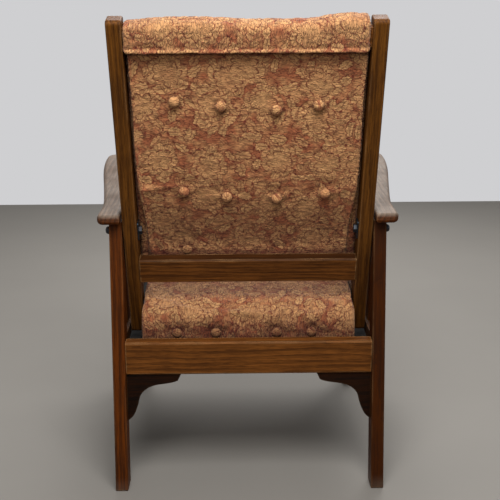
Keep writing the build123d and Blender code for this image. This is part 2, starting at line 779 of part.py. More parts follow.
def frame_pieces():
    """Everything that stands on the floor and does not move."""
    rear_leg, front_leg = make_rear_leg(), make_front_leg()
    rear_rail, front_rail, side_rail = make_rear_rail(), make_front_rail(), make_side_rail()
    slats = [make_slat(middle) for middle in slat_places()]
    runner = make_runner()
    arm = make_arm() - rear_leg - front_leg - slats
    rear_leg = rear_leg - rear_rail - side_rail
    front_leg = front_leg - front_rail - side_rail
    side_rail = side_rail - slats - runner

    leg_rear = leg_place * Pos(0, leg_depth / 2 - rear_bracket_inset, 0)
    scribe = bracket_thickness * sin(radians(rear_leg_rake))
    corner_drop = -(pivot_height - rail_bottom) / cos(radians(rear_leg_rake)) + scribe
    rear_corner = leg_rear * Pos(leg_inner_x, 0, corner_drop)
    front_bracket_rear_y = front_rail_front_y + front_bracket_inset + bracket_thickness
    front_corner = Pos(leg_inner_x, front_bracket_rear_y, front_rail_bottom)
    under_rail = Plane(origin=(0, 0, rail_bottom))
    rear_bracket = split(rear_corner * make_bracket_blank(), bisect_by=under_rail, keep=Keep.BOTTOM)
    front_bracket = front_corner * make_bracket_blank()
    screws, holes = [], []
    for corner in (rear_corner, front_corner):
        for place in bracket_screw_places():
            screws.append(corner * place * screw(bracket_screw_length))
            holes.append(corner * place * screw_hole(bracket_screw_length))
    rear_bracket = rear_bracket - holes
    front_bracket = front_bracket - holes
    rear_leg, front_leg = rear_leg - screws, front_leg - screws
    both = screws + [mirrored(one) for one in screws]

    pieces = {"rear_seat_rail": rear_rail - both, "front_seat_rail": front_rail - both,
              "bracket_screws": Compound(children=both)}
    handed = {"rear_leg": rear_leg, "front_leg": front_leg, "arm": arm, "side_seat_rail": side_rail,
              "rear_bracket": rear_bracket, "front_bracket": front_bracket, "seat_runner": runner,
              "pivot_bolt": make_pivot_bolt()}
    for name, piece in handed.items():
        pieces[name + "_left"] = piece
        pieces[name + "_right"] = mirrored(piece)
    for number, slat in enumerate(slats):
        pieces[f"side_slat_left_{number + 1}"] = slat
        pieces[f"side_slat_right_{number + 1}"] = mirrored(slat)
    for name, piece in (("pivot_nuts", make_pivot_nut()), ("pivot_washers", make_pivot_washer())):
        pieces[name] = Compound(children=[piece, mirrored(piece)])
    return pieces


def button_points(shares, y):
    """A start point for each button of the back, clear of the pad."""
    return [(across * back_pad_half_width, y, lift * stile_rise) for across, lift in shares]


def back_pieces():
    """Everything that leans with the back, in the back's own frame."""
    lower_rail, top_rail = make_lower_rail(), make_top_rail()
    plate = make_pivot_plate()
    screws = [place * screw(screw_length) for place in pivot_plate_screw_places()]
    stile = make_stile() - lower_rail - top_rail - screws
    plate = plate - screws

    pad = make_back_pad()
    behind = button_points(back_button_shares + back_low_rear_button_shares, half_depth)
    ahead = button_points(back_button_shares + back_low_front_button_shares, -half_depth)
    pad, rear_buttons = tufted(pad, behind, (0, -1, 0), back_tuft_depth, back_tuft_radius)
    pad, front_buttons = tufted(pad, ahead, (0, 1, 0), front_tuft_depth, back_tuft_radius)

    pieces = {"back_lower_rail": lower_rail, "back_top_rail": top_rail, "back_top_roll": make_roll(),
              "back_cushion": pad, "rear_buttons": Compound(children=rear_buttons),
              "front_buttons": Compound(children=front_buttons)}
    for name, piece in (("back_stile", stile), ("pivot_plate", plate), ("foot_pin", make_foot_pin())):
        pieces[name + "_left"] = piece
        pieces[name + "_right"] = mirrored(piece)
    pieces["pivot_plate_screws"] = Compound(children=screws + [mirrored(one) for one in screws])
    return pieces


def seat_pieces():
    """Everything that glides with the seat, in the seat's own frame."""
    dowels = seat_dowels()
    screws = [place * screw(screw_length) for place in slot_plate_screw_places()]
    side = make_seat_side() - dowels - screws
    plate = make_slot_plate() - screws
    lengthwise, across = seat_straps()

    places = [share * seat_pad_half_width for share in seat_button_place_shares]
    rows = [-share * seat_frame_length for share in seat_button_row_shares]
    above = [(x, y, half_depth) for y in rows for x in places]
    behind = [(x, half_depth, seat_bar_height + seat_rear_tuft_lift) for x in places]
    pad, buttons = tufted(make_seat_pad(), above, (0, 0, -1), seat_tuft_depth, seat_tuft_radius)
    pad, rear_buttons = tufted(pad, behind, (0, -1, 0), seat_rear_tuft_depth, seat_tuft_radius)
    buttons += rear_buttons

    pieces = {"seat_front_bar": make_seat_bar(-seat_frame_length) - dowels,
              "seat_rear_bar": make_seat_bar(-seat_bar_thickness) - dowels,
              "seat_frame_dowels": Compound(children=dowels),
              "seat_webbing": Compound(children=lengthwise), "seat_cross_webbing": Compound(children=across),
              "seat_cushion": pad, "seat_buttons": Compound(children=buttons)}
    for name, piece in (("seat_side", side), ("slot_plate", plate)):
        pieces[name + "_left"] = piece
        pieces[name + "_right"] = mirrored(piece)
    pieces["slot_plate_screws"] = Compound(children=screws + [mirrored(one) for one in screws])
    return pieces


def chair_pieces():
    """Every piece of the chair by name, in its place."""
    pieces = frame_pieces()
    pieces.update({name: back_place * piece for name, piece in back_pieces().items()})
    pieces.update({name: seat_place * piece for name, piece in seat_pieces().items()})
    return pieces


def main():
    os.makedirs("parts", exist_ok=True)
    for name, piece in chair_pieces().items():
        export_step(piece, f"parts/{name}.step")
    print("pivot", 0, round(pivot_y, 3), pivot_height)
    print("seat slide", round(full_slide(), 3), "over", recline_travel, "degrees")


main()
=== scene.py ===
"""An oak mission recliner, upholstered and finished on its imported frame. Lengths are in metres."""
import json
import math

import bpy
import numpy as np
from mathutils import Matrix, Vector, noise


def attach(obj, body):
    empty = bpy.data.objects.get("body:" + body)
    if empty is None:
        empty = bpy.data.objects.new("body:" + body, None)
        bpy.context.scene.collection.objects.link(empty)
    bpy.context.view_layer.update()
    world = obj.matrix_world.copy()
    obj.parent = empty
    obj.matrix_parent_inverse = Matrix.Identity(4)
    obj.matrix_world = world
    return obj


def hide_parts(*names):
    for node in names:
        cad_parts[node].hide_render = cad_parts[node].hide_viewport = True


bl_info = {
    "name": "Mission Reclining Armchair",
    "version": (1, 0, 0),
    "blender": (4, 5, 0),
    "location": "View3D > Sidebar > Armchair",
    "description": "Upholsters and finishes an oak mission recliner on its packed frame",
    "category": "Object",
}

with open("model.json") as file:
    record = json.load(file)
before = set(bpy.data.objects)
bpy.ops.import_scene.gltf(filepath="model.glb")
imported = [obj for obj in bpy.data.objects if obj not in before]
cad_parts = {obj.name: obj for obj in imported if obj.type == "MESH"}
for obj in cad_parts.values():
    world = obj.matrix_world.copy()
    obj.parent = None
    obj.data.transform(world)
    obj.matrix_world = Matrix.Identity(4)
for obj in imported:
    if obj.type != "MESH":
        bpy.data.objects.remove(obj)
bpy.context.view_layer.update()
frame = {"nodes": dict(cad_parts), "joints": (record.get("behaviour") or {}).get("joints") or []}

MM = 0.001
LEAN = math.radians(15.4)
SLOPE = math.radians(4.1)
LEG_RAKE = 0.147
PIVOT = next(joint["pos_m"] for joint in frame["joints"] if joint["name"] == "back_recline")
BACK = Matrix.Translation(PIVOT) @ Matrix.Rotation(-LEAN, 4, "X")
SEAT = Matrix.Translation((0, PIVOT[1] + 6 * MM, 0.3003)) @ Matrix.Rotation(-SLOPE, 4, "X")
# The seat's rear row of buttons stands behind this line, the others on its top
REAR_ROW = -0.06
# The cloth is tied fast this far round a button's middle, and drawn in this much past its rim
TIED = 9.5 * MM
DRAWN_PAST = 0.5 * MM
# A wave texture of scale 1 has a band every 0.314
WAVE_BAND = 0.314


def linear(code):
    """An sRGB hex colour as linear RGBA."""
    parts = [int(code[i:i + 2], 16) / 255 for i in (0, 2, 4)]
    return [p / 12.92 if p <= 0.04045 else ((p + 0.055) / 1.055) ** 2.4 for p in parts] + [1.0]


def colour_property(name, description, code):
    """A colour that a user can change, with its hex default."""
    return bpy.props.FloatVectorProperty(
        name=name, description=description, subtype="COLOR", size=4, min=0, max=1, default=linear(code))


def length_property(name, description, default):
    """A length that a user can change."""
    return bpy.props.FloatProperty(name=name, description=description, default=default, subtype="DISTANCE")


class ArmchairWood(bpy.types.PropertyGroup):
    rail_colour: colour_property("Rails", "Golden varnished oak of the rails", "72431A")
    stile_colour: colour_property("Stiles", "Brown oak of the back's uprights", "603A12")
    leg_colour: colour_property("Legs", "Redder oak of the legs", "5A2B08")
    dark_colour: colour_property("Latewood", "Dark bands and pores of the oak", "2E1608")
    # Grey of the faded arm tops, which also holds a painted sheen of the room's light, and of the scuffed
    # feet
    fade_and_sheen_colour: colour_property("Faded", "Greyed oak on the arm tops", "8E7F70")
    worn_colour: colour_property("Worn", "Bare edges where the varnish is rubbed away", "B28A5C")
    ring_spacing: length_property("Ring spacing", "Width of one growth band", 10 * MM)
    pore_length: length_property("Pore length", "Length of the open pores", 32 * MM)


class ArmchairCloth(bpy.types.PropertyGroup):
    gold_colour: colour_property("Gold", "Raised leaves of the cloth", "D8A26B")
    rust_colour: colour_property("Rust", "Ground of the cloth", "AA6440")
    line_colour: colour_property("Lines", "Outlines and veins of the pattern", "6E2A1C")
    bloom_spacing: length_property("Bloom spacing", "Distance between flower heads", 105 * MM)
    leaf_spacing: length_property("Leaf spacing", "Distance between leaves", 34 * MM)
    pucker_depth: length_property("Pucker depth", "Depth of the crinkles in the cloth", 1.5 * MM)


class ArmchairStuffing(bpy.types.PropertyGroup):
    pressure: bpy.props.FloatProperty(name="Pressure", description="Pressure of the filling", default=4.0)
    back_swell: length_property("Back swell", "Furthest the back cover may move", 7 * MM)
    seat_swell: length_property("Seat swell", "Furthest the seat cover may move", 8 * MM)
    mesh_pitch: length_property("Mesh pitch", "Size of a face before the covers are smoothed", 6 * MM)


class ArmchairStage(bpy.types.PropertyGroup):
    lens: bpy.props.FloatProperty(name="Lens", description="Focal length in millimetres", default=61.2)
    camera_distance: length_property("Camera distance", "Camera behind the back's pivot", 1.79)
    camera_height: length_property("Camera height", "Camera above the floor", 1.02)
    camera_aside: length_property("Camera aside", "Camera towards the sitter's left", 21 * MM)
    camera_pitch: bpy.props.FloatProperty(
        name="Camera pitch", description="Downward tilt", default=math.radians(15.45), subtype="ANGLE")
    floor_colour: colour_property("Floor", "Plain pale floor", "98938C")
    key_power: bpy.props.FloatProperty(
        name="Key power", description="Overhead soft box, in watts", default=25)
    sky_strength: bpy.props.FloatProperty(
        name="Sky", description="Strength of the room's own light", default=0.07)


def node(tree, kind, inputs=None, **settings):
    """Adds a shader node, sets it, and links or fills its inputs."""
    made = tree.nodes.new("ShaderNode" + kind)
    for key, value in settings.items():
        setattr(made, key, value)
    for key, value in (inputs or {}).items():
        socket = made.inputs[key]
        if isinstance(value, bpy.types.NodeSocket):
            tree.links.new(value, socket)
        else:
            socket.default_value = value
    return made


# The inputs that a row of worked() fills, by a node's kind or type, where they aren't the first ones
SOCKETS = {"FLOAT": (0, 2, 3), "RGBA": (0, 6, 7), "SCALE": (0, 3), "VectorRotate": (0, 3),
           "TexNoise": (0, 2, 3, 4, 8), "TexVoronoi": (0, 2, 8), "Bump": (3, 0, 1)}
SETTINGS = {"Mix": "data_type", "MapRange": "interpolation_type", "VectorRotate": "rotation_type"}
CLAMPED = {"use_clamp": True}
EASED = "MapRange.SMOOTHSTEP"
OBJECT_PLACE = ("place:Object", "TexCoord")


def worked(tree, rows):
    """Adds nodes by rows of results, kind and inputs, then any settings in a dict. Among the inputs a word
    is an earlier result, a row without results is a node used just there, and None is left alone. A kind
    may end with its type or operation, and an operation by itself is a Math node's. A result may end with
    its output's name."""
    values = {}

    def added(kind, *terms):
        """The new node, and the output that is its result if no other is named."""
        *terms, settings = terms if terms and isinstance(terms[-1], dict) else (*terms, {})
        kind, _, way = kind.rpartition(".")
        if not way.isupper():
            kind, way = way, ""
        kind = kind or "Math"
        if way:
            settings = {SETTINGS.get(kind, "operation"): way, **settings}
        given = {}
        for socket, term in zip(SOCKETS.get(way) or SOCKETS.get(kind) or range(len(terms)), terms):
            if isinstance(term, str):
                term = values[term]
            elif isinstance(term, tuple) and isinstance(term[0], str):
                term = added(*term)[1]
            if term is not None:
                given[socket] = term
        made = node(tree, kind, given, **settings)
        return made, made.outputs[2 if way == "RGBA" else 0]

    for results, *row in rows:
        made, result = added(*row)
        for name in results.split(","):
            name, _, output = name.partition(":")
            values[name] = made.outputs[output] if output else result
    return values


def new_material(name, rows, surface):
    """A material from rows of nodes and its shader's inputs, where a word is a row's result. The rows
    called colour and normal go in by themselves."""
    material = bpy.data.materials.new(name)
    material.use_nodes = True
    tree = material.node_tree
    tree.nodes.clear()
    values = worked(tree, rows)
    surface = {"Base Color": "colour", **surface}
    if "normal" in values:
        surface["Normal"] = "normal"
    shader = node(tree, "BsdfPrincipled", {
        key: values[value] if isinstance(value, str) else value for key, value in surface.items()})
    node(tree, "OutputMaterial", {"Surface": shader.outputs["BSDF"]})
    return material


def tinted(colour, share):
    """A colour made lighter or darker."""
    return [min(1.0, c * share) for c in colour[:3]] + [1.0]


def oak(name, turn, base, shift=(0, 0, 0), top_fade_and_painted_light=0.0, worn=0.5, darker=1.0, gloss=0.08, foot=0.0,
        grimed=False):
    """Oak, sawn, planed and varnished long ago: growth bands and dark open pores run along the piece,
    the sharp edges are rubbed to a paler wood, and dirt sits in a soft mottle."""
    wood = bpy.context.scene.armchair_wood
    latewood, greyed = list(wood.dark_colour), list(wood.fade_and_sheen_colour)
    dark = [c * 0.35 + d * 0.65 for c, d in zip(base[:3], latewood)] + [1.0]
    rows = [
        OBJECT_PLACE, ("facing:Normal", "NewGeometry"),
        ("along", "Mapping", "place", shift, turn),
        # Slow waviness of the growth bands, a few centimetres across
        ("waver:Color", "TexNoise", ("Mapping", "along", None, None, (16, 16, 3.2)), 1.0, 2.0),
        ("centred", "VectorMath.SUBTRACT", "waver", (0.5, 0.5, 0.5)),
        ("bent", "VectorMath.ADD", "along", ("VectorMath.SCALE", "centred", 0.028)),
        ("pith", "Mapping", "bent", (0.11, 0.07, 0), (0.05, 0.035, 0)),
        ("rings:Fac", "TexWave", "pith", WAVE_BAND / wood.ring_spacing, 1.1, 3.0, 1.6, 0.6,
         {"wave_type": "RINGS", "rings_direction": "Z", "wave_profile": "SAW"}),
        # Open pores, drawn about three times as wide as real ones so that they show
        ("pores", "Mapping", "along", None, None, (620, 620, 1 / wood.pore_length)),
        ("pore dark", "MapRange", ("TexNoise", "pores", 1.0, 3.0, 0.65), 0.48, 0.72),
        ("fibre", "TexNoise", ("Mapping", "along", None, None, (230, 230, 6)), 1.0, 4.0, 0.6),
        ("mottle", "TexNoise", "along", 9.0, 4.0, 0.62),
        ("tone", "MapRange", "rings", 0.15, 1.0, 0.0, 0.6),
        ("tone", "ADD", "tone", ("MapRange", "fibre", 0.42, 0.64, 0.0, 0.75)),
        ("tone", "ADD", "tone", ("MapRange", "mottle", 0.42, 0.72, -0.12, 0.4), CLAMPED),
        ("tone", "MULTIPLY", "tone", darker, CLAMPED),
        ("colour", "Mix.RGBA", "tone", tinted(base, 1.4), dark),
        ("colour", "Mix.RGBA", ("MULTIPLY", "pore dark", 0.75), "colour", latewood)]
    if top_fade_and_painted_light:
        # Light and hands have greyed the faces that look up, and a painted sheen of the room's light is in
        # that grey; on the lower back rail these faces are darkened instead, as painted shade from the panel
        # above them
        top_tint = latewood if grimed else greyed
        rows += [
            ("up:Z", "SeparateXYZ", "facing"),
            ("upward", "MapRange", "up", -0.2, 0.75, 0.0, top_fade_and_painted_light),
            ("patch", "MapRange", "mottle", 0.3, 0.62, 1.0, 0.72),
            ("grain", "Mix.RGBA", "tone", top_tint, tinted(top_tint, 0.62)),
            ("colour", "Mix.RGBA", ("MULTIPLY", "upward", "patch"), "colour", "grain")]
    if foot:
        # Feet are scuffed and greyed where mops and shoes reach them
        rows += [
            ("low:Z", "SeparateXYZ", "place"),
            ("near floor", EASED, "low", 0.035, 0.004, 0.0, foot),
            ("colour", "Mix.RGBA", ("MULTIPLY", "near floor", "mottle"), "colour", greyed)]
    rows += [
        # The rounded normal departs from the face's own only beside an edge
        ("soft", "Bevel", 4.5 * MM, {"samples": 4}),
        ("same:Value", "VectorMath.DOT_PRODUCT", "soft", "facing"),
        ("edge", "MapRange", "same", 0.985, 0.86),
        ("rub", "TexNoise", ("Mapping", "along", None, None, (60, 60, 14)), 1.0, 3.0),
        ("edge", "MULTIPLY", "edge", ("MapRange", "rub", 0.4, 0.66, 0.12, 1.0)),
        ("edge", "MULTIPLY", "edge", worn),
        ("colour", "Mix.RGBA", "edge", "colour", list(wood.worn_colour)),
        ("rough", "MapRange", "mottle", 0.3, 0.7, 0.38, 0.61),
        ("rough", "ADD", "rough", "edge", CLAMPED),
        ("normal", "Bump", ("ADD", "pore dark", "fibre"), 0.35, 0.5 * MM, {"invert": True})]
    return new_material(name, rows, {"Roughness": "rough", "IOR": 1.5, "Specular IOR Level": gloss})


def bare_wood(name, turn, code):
    """Sawn frame timber under the upholstery, unfinished: pale, dry and fibrous."""
    base = linear(code)
    rows = [
        OBJECT_PLACE,
        ("along", "Mapping", "place", None, turn),
        ("fibre", "TexNoise", ("Mapping", "along", None, None, (260, 260, 9)), 1.0, 4.0),
        ("colour", "Mix.RGBA", "fibre", base, tinted(base, 0.45)),
        ("normal", "Bump", "fibre", 0.4, 0.4 * MM)]
    return new_material(name, rows, {"Roughness": 0.8})


def metal(name, code, rough, rust):
    """Forged or turned metal, oiled black: dull, with a fine mottle and a little rust."""
    base = linear(code)
    rows = [
        OBJECT_PLACE,
        ("mottle", "TexNoise", "place", 160.0, 5.0),
        ("colour", "Mix.RGBA", "mottle", base, tinted(base, 0.5)),
        ("colour", "Mix.RGBA", ("MapRange", "mottle", 0.5, 0.7, 0.0, rust), "colour", linear("5A3420")),
        ("rough", "MapRange", "mottle", 0.3, 0.7, rough, rough + 0.2),
        ("normal", "Bump", "mottle", 0.3, 0.2 * MM)]
    return new_material(name, rows, {"Roughness": "rough", "Metallic": 0.85})


def oval(name, x, y, long, wide):
    """Rows for the square of how far a place is out, as a share of an oval's own reach."""
    return [("long", "MULTIPLY", x, 1 / long), ("wide", "MULTIPLY", y, 1 / wide),
            (name, "MULTIPLY_ADD", "wide", "wide", ("MULTIPLY", "long", "long"))]


def jacquard(name, ink_share=1.0):
    """Jacquard upholstery cloth, woven in gold leaves on rust and shrunk so that it crinkles. The leaf and
    flower pattern is worked out in millimetres on the unrolled cloth."""
    cloth = bpy.context.scene.armchair_cloth
    gold, rust, line = (list(c) for c in (cloth.gold_colour, cloth.rust_colour, cloth.line_colour))
    rows = [("flat:UV", "UVMap", {"uv_map": "cloth"}),
            ("crease:Fac", "Attribute", {"attribute_name": "crease"}),
            ("plain,size", "VectorMath.SCALE", "flat", 1 / MM)]
    for scale, reach in ((0.018, 30.0), (0.075, 11.0)):
        rows += [
            ("sway:Color", "TexNoise", "plain", scale, 1.5),
            ("sway", "VectorMath.SUBTRACT", "sway", (0.5, 0.5, 0.5)),
            ("size", "VectorMath.ADD", "size", ("VectorMath.SCALE", "sway", reach))]
    for layer, spacing, random, aside in (
            ("bloom", cloth.bloom_spacing, 0.75, 0), ("leaf", cloth.leaf_spacing, 0.8, 0),
            ("small", cloth.leaf_spacing * 0.7, 0.9, 370)):
        rows += [
            ("moved", "VectorMath.ADD", "size", (aside, aside, 0)),
            ("cell:Position,tint:Color", "TexVoronoi", "moved", MM / spacing, random,
             {"voronoi_dimensions": "2D"}),
            (f"first:Red,{layer} chance:Green", "SeparateColor", "tint"),
            ("turned", "VectorRotate.Z_AXIS", ("VectorMath.SUBTRACT", "moved", "cell"),
             ("MULTIPLY", "first", math.tau)),
            (f"{layer} x:X,{layer} y:Y", "SeparateXYZ", "turned"),
            (f"{layer} reach:Value", "VectorMath.LENGTH", "turned")]
    for direction in "XY":
        # Threads of about 0.8 mm are drawn 1.6 mm wide so that the weave shows
        rows.append((f"thread {direction}:Fac", "TexWave", "plain", WAVE_BAND / 1.6, 1.2, 1.0, 0.4,
                     {"bands_direction": direction}))
    rows += [
        ("patch", "TexNoise", "plain", 0.03, 2.5),
        ("fleck", "TexNoise", "plain", 0.3, 3.0, 0.7),
        # Petals swell and pinch round each flower, in whorls, with veins along them
        ("turn", "ARCTAN2", "bloom y", "bloom x"),
        ("petal", "ABSOLUTE", ("COSINE", ("MULTIPLY", "turn", 3.5))),
        ("petal swell", "MULTIPLY_ADD", ("POWER", "petal", 0.5), 17.0, 24.0),
        ("whorl", "DIVIDE", "bloom reach", "petal swell"),
        ("whorl line", "ABSOLUTE", ("SINE", ("MULTIPLY", "whorl", 9.42))),
        ("vein line", "ABSOLUTE", ("SINE", ("MULTIPLY", "turn", 17.0))),
        # Each leaf has a midrib and side veins that sweep back from it
        ("half leaf", "ABSOLUTE", "leaf y"),
        ("swept", "MULTIPLY_ADD", "half leaf", 1.1, "leaf x"),
        ("side line", "ABSOLUTE", ("SINE", ("MULTIPLY", "swept", 0.72))),
        ("lobe", "ABSOLUTE", ("SINE", ("MULTIPLY", "leaf x", 0.42))),
        *oval("leaf square", "leaf x", "half leaf", 17, 9),
        ("leaf rim", "MULTIPLY_ADD", "lobe", -0.26, ("SQRT", "leaf square")),
        ("rim line", "ABSOLUTE", ("SUBTRACT", "leaf rim", 0.8)),
        *oval("small round", "small x", "small y", 11, 5.5),
        ("small line", "ABSOLUTE", ("SUBTRACT", "small round", 0.75)),
        ("small half", "ABSOLUTE", "small y")]
    rows += [(name, EASED, *terms) for name, *terms in (
        ("beyond heart", "whorl", 0.42, 0.52), ("whorl ink", "whorl line", 0.55, 0.1, 0.0, 0.9),
        ("vein ink", "vein line", 0.6, 0.1, 0.0, 0.6), ("rim ink", "rim line", 0.15, 0.04, 0.0, 0.95),
        ("rib ink", "half leaf", 1.3, 0.3, 0.0, 0.75), ("side ink", "side line", 0.5, 0.1, 0.0, 0.45),
        ("inside", "leaf rim", 0.84, 0.76), ("small rim", "small line", 0.3, 0.08, 0.0, 0.8),
        ("small rib", "small half", 1.0, 0.3, 0.0, 0.6), ("small in", "small round", 0.8, 0.7),
        ("flower", "whorl", 1.06, 0.97), ("rust ground", "patch", 0.34, 0.7, 0.0, 0.85),
        ("rust leaf", "leaf chance", 0.5, 0.9, 0.0, 0.3), ("broken", "fleck", 0.25, 0.65, 0.5, 1.1))]
    rows += [
        ("ground lines", "MAXIMUM", "small rim", ("MULTIPLY", "small rib", "small in")),
        ("flower lines", "MAXIMUM", ("MULTIPLY", "whorl ink", "beyond heart"), "vein ink"),
        ("ground rust", "MULTIPLY_ADD", ("SUBTRACT", 1.0, "small in"), 0.3, "rust ground"),
        ("leafy lines", "Mix.FLOAT", "inside", "ground lines", ("MAXIMUM", "rib ink", "side ink")),
        ("leafy lines", "MAXIMUM", "leafy lines", "rim ink"),
        ("half rust", "Mix.FLOAT", "inside", "ground rust", "rust leaf"),
        ("lines", "Mix.FLOAT", "flower", "leafy lines", "flower lines"),
        ("rust", "Mix.FLOAT", "flower", "half rust", ("MULTIPLY", "rust ground", 0.4)),
        ("lines", "MULTIPLY", ("MULTIPLY", "lines", "broken"), ink_share),
        ("rust", "MULTIPLY", "rust", ink_share),
        # Crinkles run mostly across the cloth: rounded ridges about 5 mm apart between thin valleys,
        # which lie where a stretched noise crosses its middle
        ("fold", "TexNoise", ("Mapping", "plain", None, None, (0.065, 0.23, 1)), 1.0, 1.4, 0.5, 0.55),
        ("off", "ABSOLUTE", ("SUBTRACT", "fold", 0.5)),
        ("ridge", EASED, "off", 0.0, 0.09),
        # The valleys are darkened in colour as painted shade
        ("sunk", EASED, "off", 0.04, 0.0, 0.0, 0.45),
        ("colour", "Mix.RGBA", "rust", gold, rust),
        ("colour", "Mix.RGBA", "lines", "colour", line),
        # The marked creases and the valleys darken the cloth towards the line colour: painted shade
        ("deep", "MULTIPLY_ADD", "crease", 0.38, "sunk", CLAMPED),
        ("colour", "Mix.RGBA", "deep", "colour", tinted(line, 0.45)),
        ("colour", "VectorMath.SCALE", "colour", (EASED, "fleck", 0.3, 0.7, 0.9, 1.16)),
        ("height", "MULTIPLY_ADD", ("MULTIPLY", "thread X", "thread Y"), 0.14, "ridge"),
        ("normal", "Bump", "height", 0.9, 1.2 * MM)]
    return new_material(name, rows, {"Roughness": 0.86, "Sheen Weight": 0.12, "Sheen Roughness": 0.5,
                                     "Specular IOR Level": 0.25})


def jute(name):
    """Jute webbing, plain woven in coarse yarn of about 1.5 mm, drawn 2.5 mm wide so that it shows."""
    rows = [OBJECT_PLACE]
    for direction in "XY":
        rows.append((f"yarn {direction}:Fac", "TexWave", "place", WAVE_BAND / 0.0025, 1.5,
                     {"bands_direction": direction}))
    rows += [
        ("weave", "MULTIPLY", "yarn X", "yarn Y"),
        ("colour", "Mix.RGBA", "weave", linear("6E5636"), linear("B79A6C")),
        ("normal", "Bump", "weave", 0.8, 0.8 * MM)]
    return new_material(name, rows, {"Roughness": 0.95})


def dress(names, material):
    """Gives CAD nodes a material."""
    for name in names:
        mesh = frame["nodes"][name].data
        mesh.materials.clear()
        mesh.materials.append(material)


def shared(name, make, *details, **more):
    """A material made once and then reused."""
    return bpy.data.materials.get(name) or make(name, *details, **more)


def ease(value):
    """Smooth step from 0 to 1."""
    value = np.clip(value, 0, 1)
    return value * value * (3 - 2 * value)


def spaced(outline, count):
    """Places spread evenly along an outline, both its ends included."""
    points = np.array(outline)
    run = np.concatenate([[0], np.cumsum(np.hypot(*np.diff(points, axis=0).T))])
    even = np.linspace(0, run[-1], count)
    return np.interp(even, run, points[:, 0]), np.interp(even, run, points[:, 1])


def new_piece(name, points, faces, corners):
    """A mesh object, with the cloth coordinates of its faces' corners."""
    mesh = bpy.data.meshes.new(name)
    mesh.from_pydata(points, [], faces)
    mesh.uv_layers.new(name="cloth").data.foreach_set("uv", np.asarray(corners, np.float32).ravel())
    mesh.update()
    piece = bpy.data.objects.new(name, mesh)
    bpy.context.scene.collection.objects.link(piece)
    return piece


def ring_mesh(name, rings, place, seam_shift=0.0):
    """A closed cover through rings of points, each capped by joining its two halves, with its unrolled
    cloth coordinates."""
    rings = np.asarray(rings, float)
    count, around = rings.shape[:2]
    points = rings.reshape(-1, 3)
    closed = np.concatenate([rings, rings[:, :1]], axis=1)
    middle = closed[count // 2]
    across = np.concatenate([[0], np.cumsum(np.linalg.norm(np.diff(middle, axis=0), axis=1))])
    down = np.concatenate([np.zeros((1, around + 1)),
                           np.cumsum(np.linalg.norm(np.diff(closed, axis=0), axis=2), axis=0)])
    across = across + seam_shift
    faces, corners = [], []
    for m in range(count - 1):
        for n in range(around):
            q = (n + 1) % around
            faces.append((m * around + n, m * around + q, (m + 1) * around + q, (m + 1) * around + n))
            corners += [(across[n], down[m, n]), (across[n + 1], down[m, n + 1]),
                        (across[n + 1], down[m + 1, n + 1]), (across[n], down[m + 1, n])]
    for m, flip in ((0, False), (count - 1, True)):
        first = m * around
        for n in range(around // 2):
            far, near = (around - n) % around, around - n - 1
            face = list(dict.fromkeys([n, n + 1, near, far]))
            if not flip:
                face.reverse()
            faces.append([first + k for k in face])
            corners += [(across[k], down[m, k]) for k in face]
    return new_piece(name, [place @ Vector(p) for p in points], faces, corners)


def coordinates(items, key="co"):
    """The coordinates of a mesh's points or normals as an array."""
    found = np.empty(len(items) * 3, np.float32)
    items.foreach_get(key, found)
    return found.reshape(-1, 3).astype(float)


def seen_from(place, points):
    """Points in the frame of a leaning part."""
    back = place.inverted()
    return points @ np.array(back.to_3x3()).T + np.array(back.translation)


def swollen(piece, tied, reach):
    """Fills a cover by a short cloth run under pressure, with some points tied and none moving past reach."""
    scene = bpy.context.scene
    rest = coordinates(piece.data.vertices)
    held = piece.vertex_groups.new(name="tied")
    for index in np.nonzero(tied > 0.01)[0]:
        held.add([int(index)], float(tied[index]), "REPLACE")
    filling = piece.modifiers.new("filling", "CLOTH")
    settings = filling.settings
    settings.effector_weights.gravity = 0
    for key, value in {
            "use_pressure": True, "uniform_pressure_force": scene.armchair_stuffing.pressure,
            "vertex_group_mass": "tied", "quality": 5, "mass": 0.3, "tension_stiffness": 12,
            "compression_stiffness": 12, "shear_stiffness": 5, "bending_stiffness": 0.4,
            "shrink_min": -0.025}.items():
        setattr(settings, key, value)
    steps = 20
    filling.point_cache.frame_start, filling.point_cache.frame_end = 1, steps
    for number in range(1, steps + 1):
        scene.frame_set(number)
    graph = bpy.context.evaluated_depsgraph_get()
    moved = coordinates(piece.evaluated_get(graph).data.vertices)
    piece.modifiers.remove(filling)
    piece.vertex_groups.clear()
    scene.frame_set(1)
    step = moved - rest
    length = np.linalg.norm(step, axis=1, keepdims=True)
    step *= np.minimum(1, reach / np.maximum(length, 1e-9))
    piece.data.vertices.foreach_set("co", (rest + step).astype(np.float32).ravel())
    piece.data.update()


def smoothed(piece):
    """Applies one subdivision and smooth shading."""
    finer = piece.modifiers.new("finer", "SUBSURF")
    finer.levels = finer.render_levels = 1
    graph = bpy.context.evaluated_depsgraph_get()
    mesh = bpy.data.meshes.new_from_object(piece.evaluated_get(graph))
    piece.modifiers.clear()
    piece.data = mesh
    mesh.polygons.foreach_set("use_smooth", np.ones(len(mesh.polygons), bool))


def nowhere(local):
    """A share of 0 at each point."""
    return np.zeros(len(local))


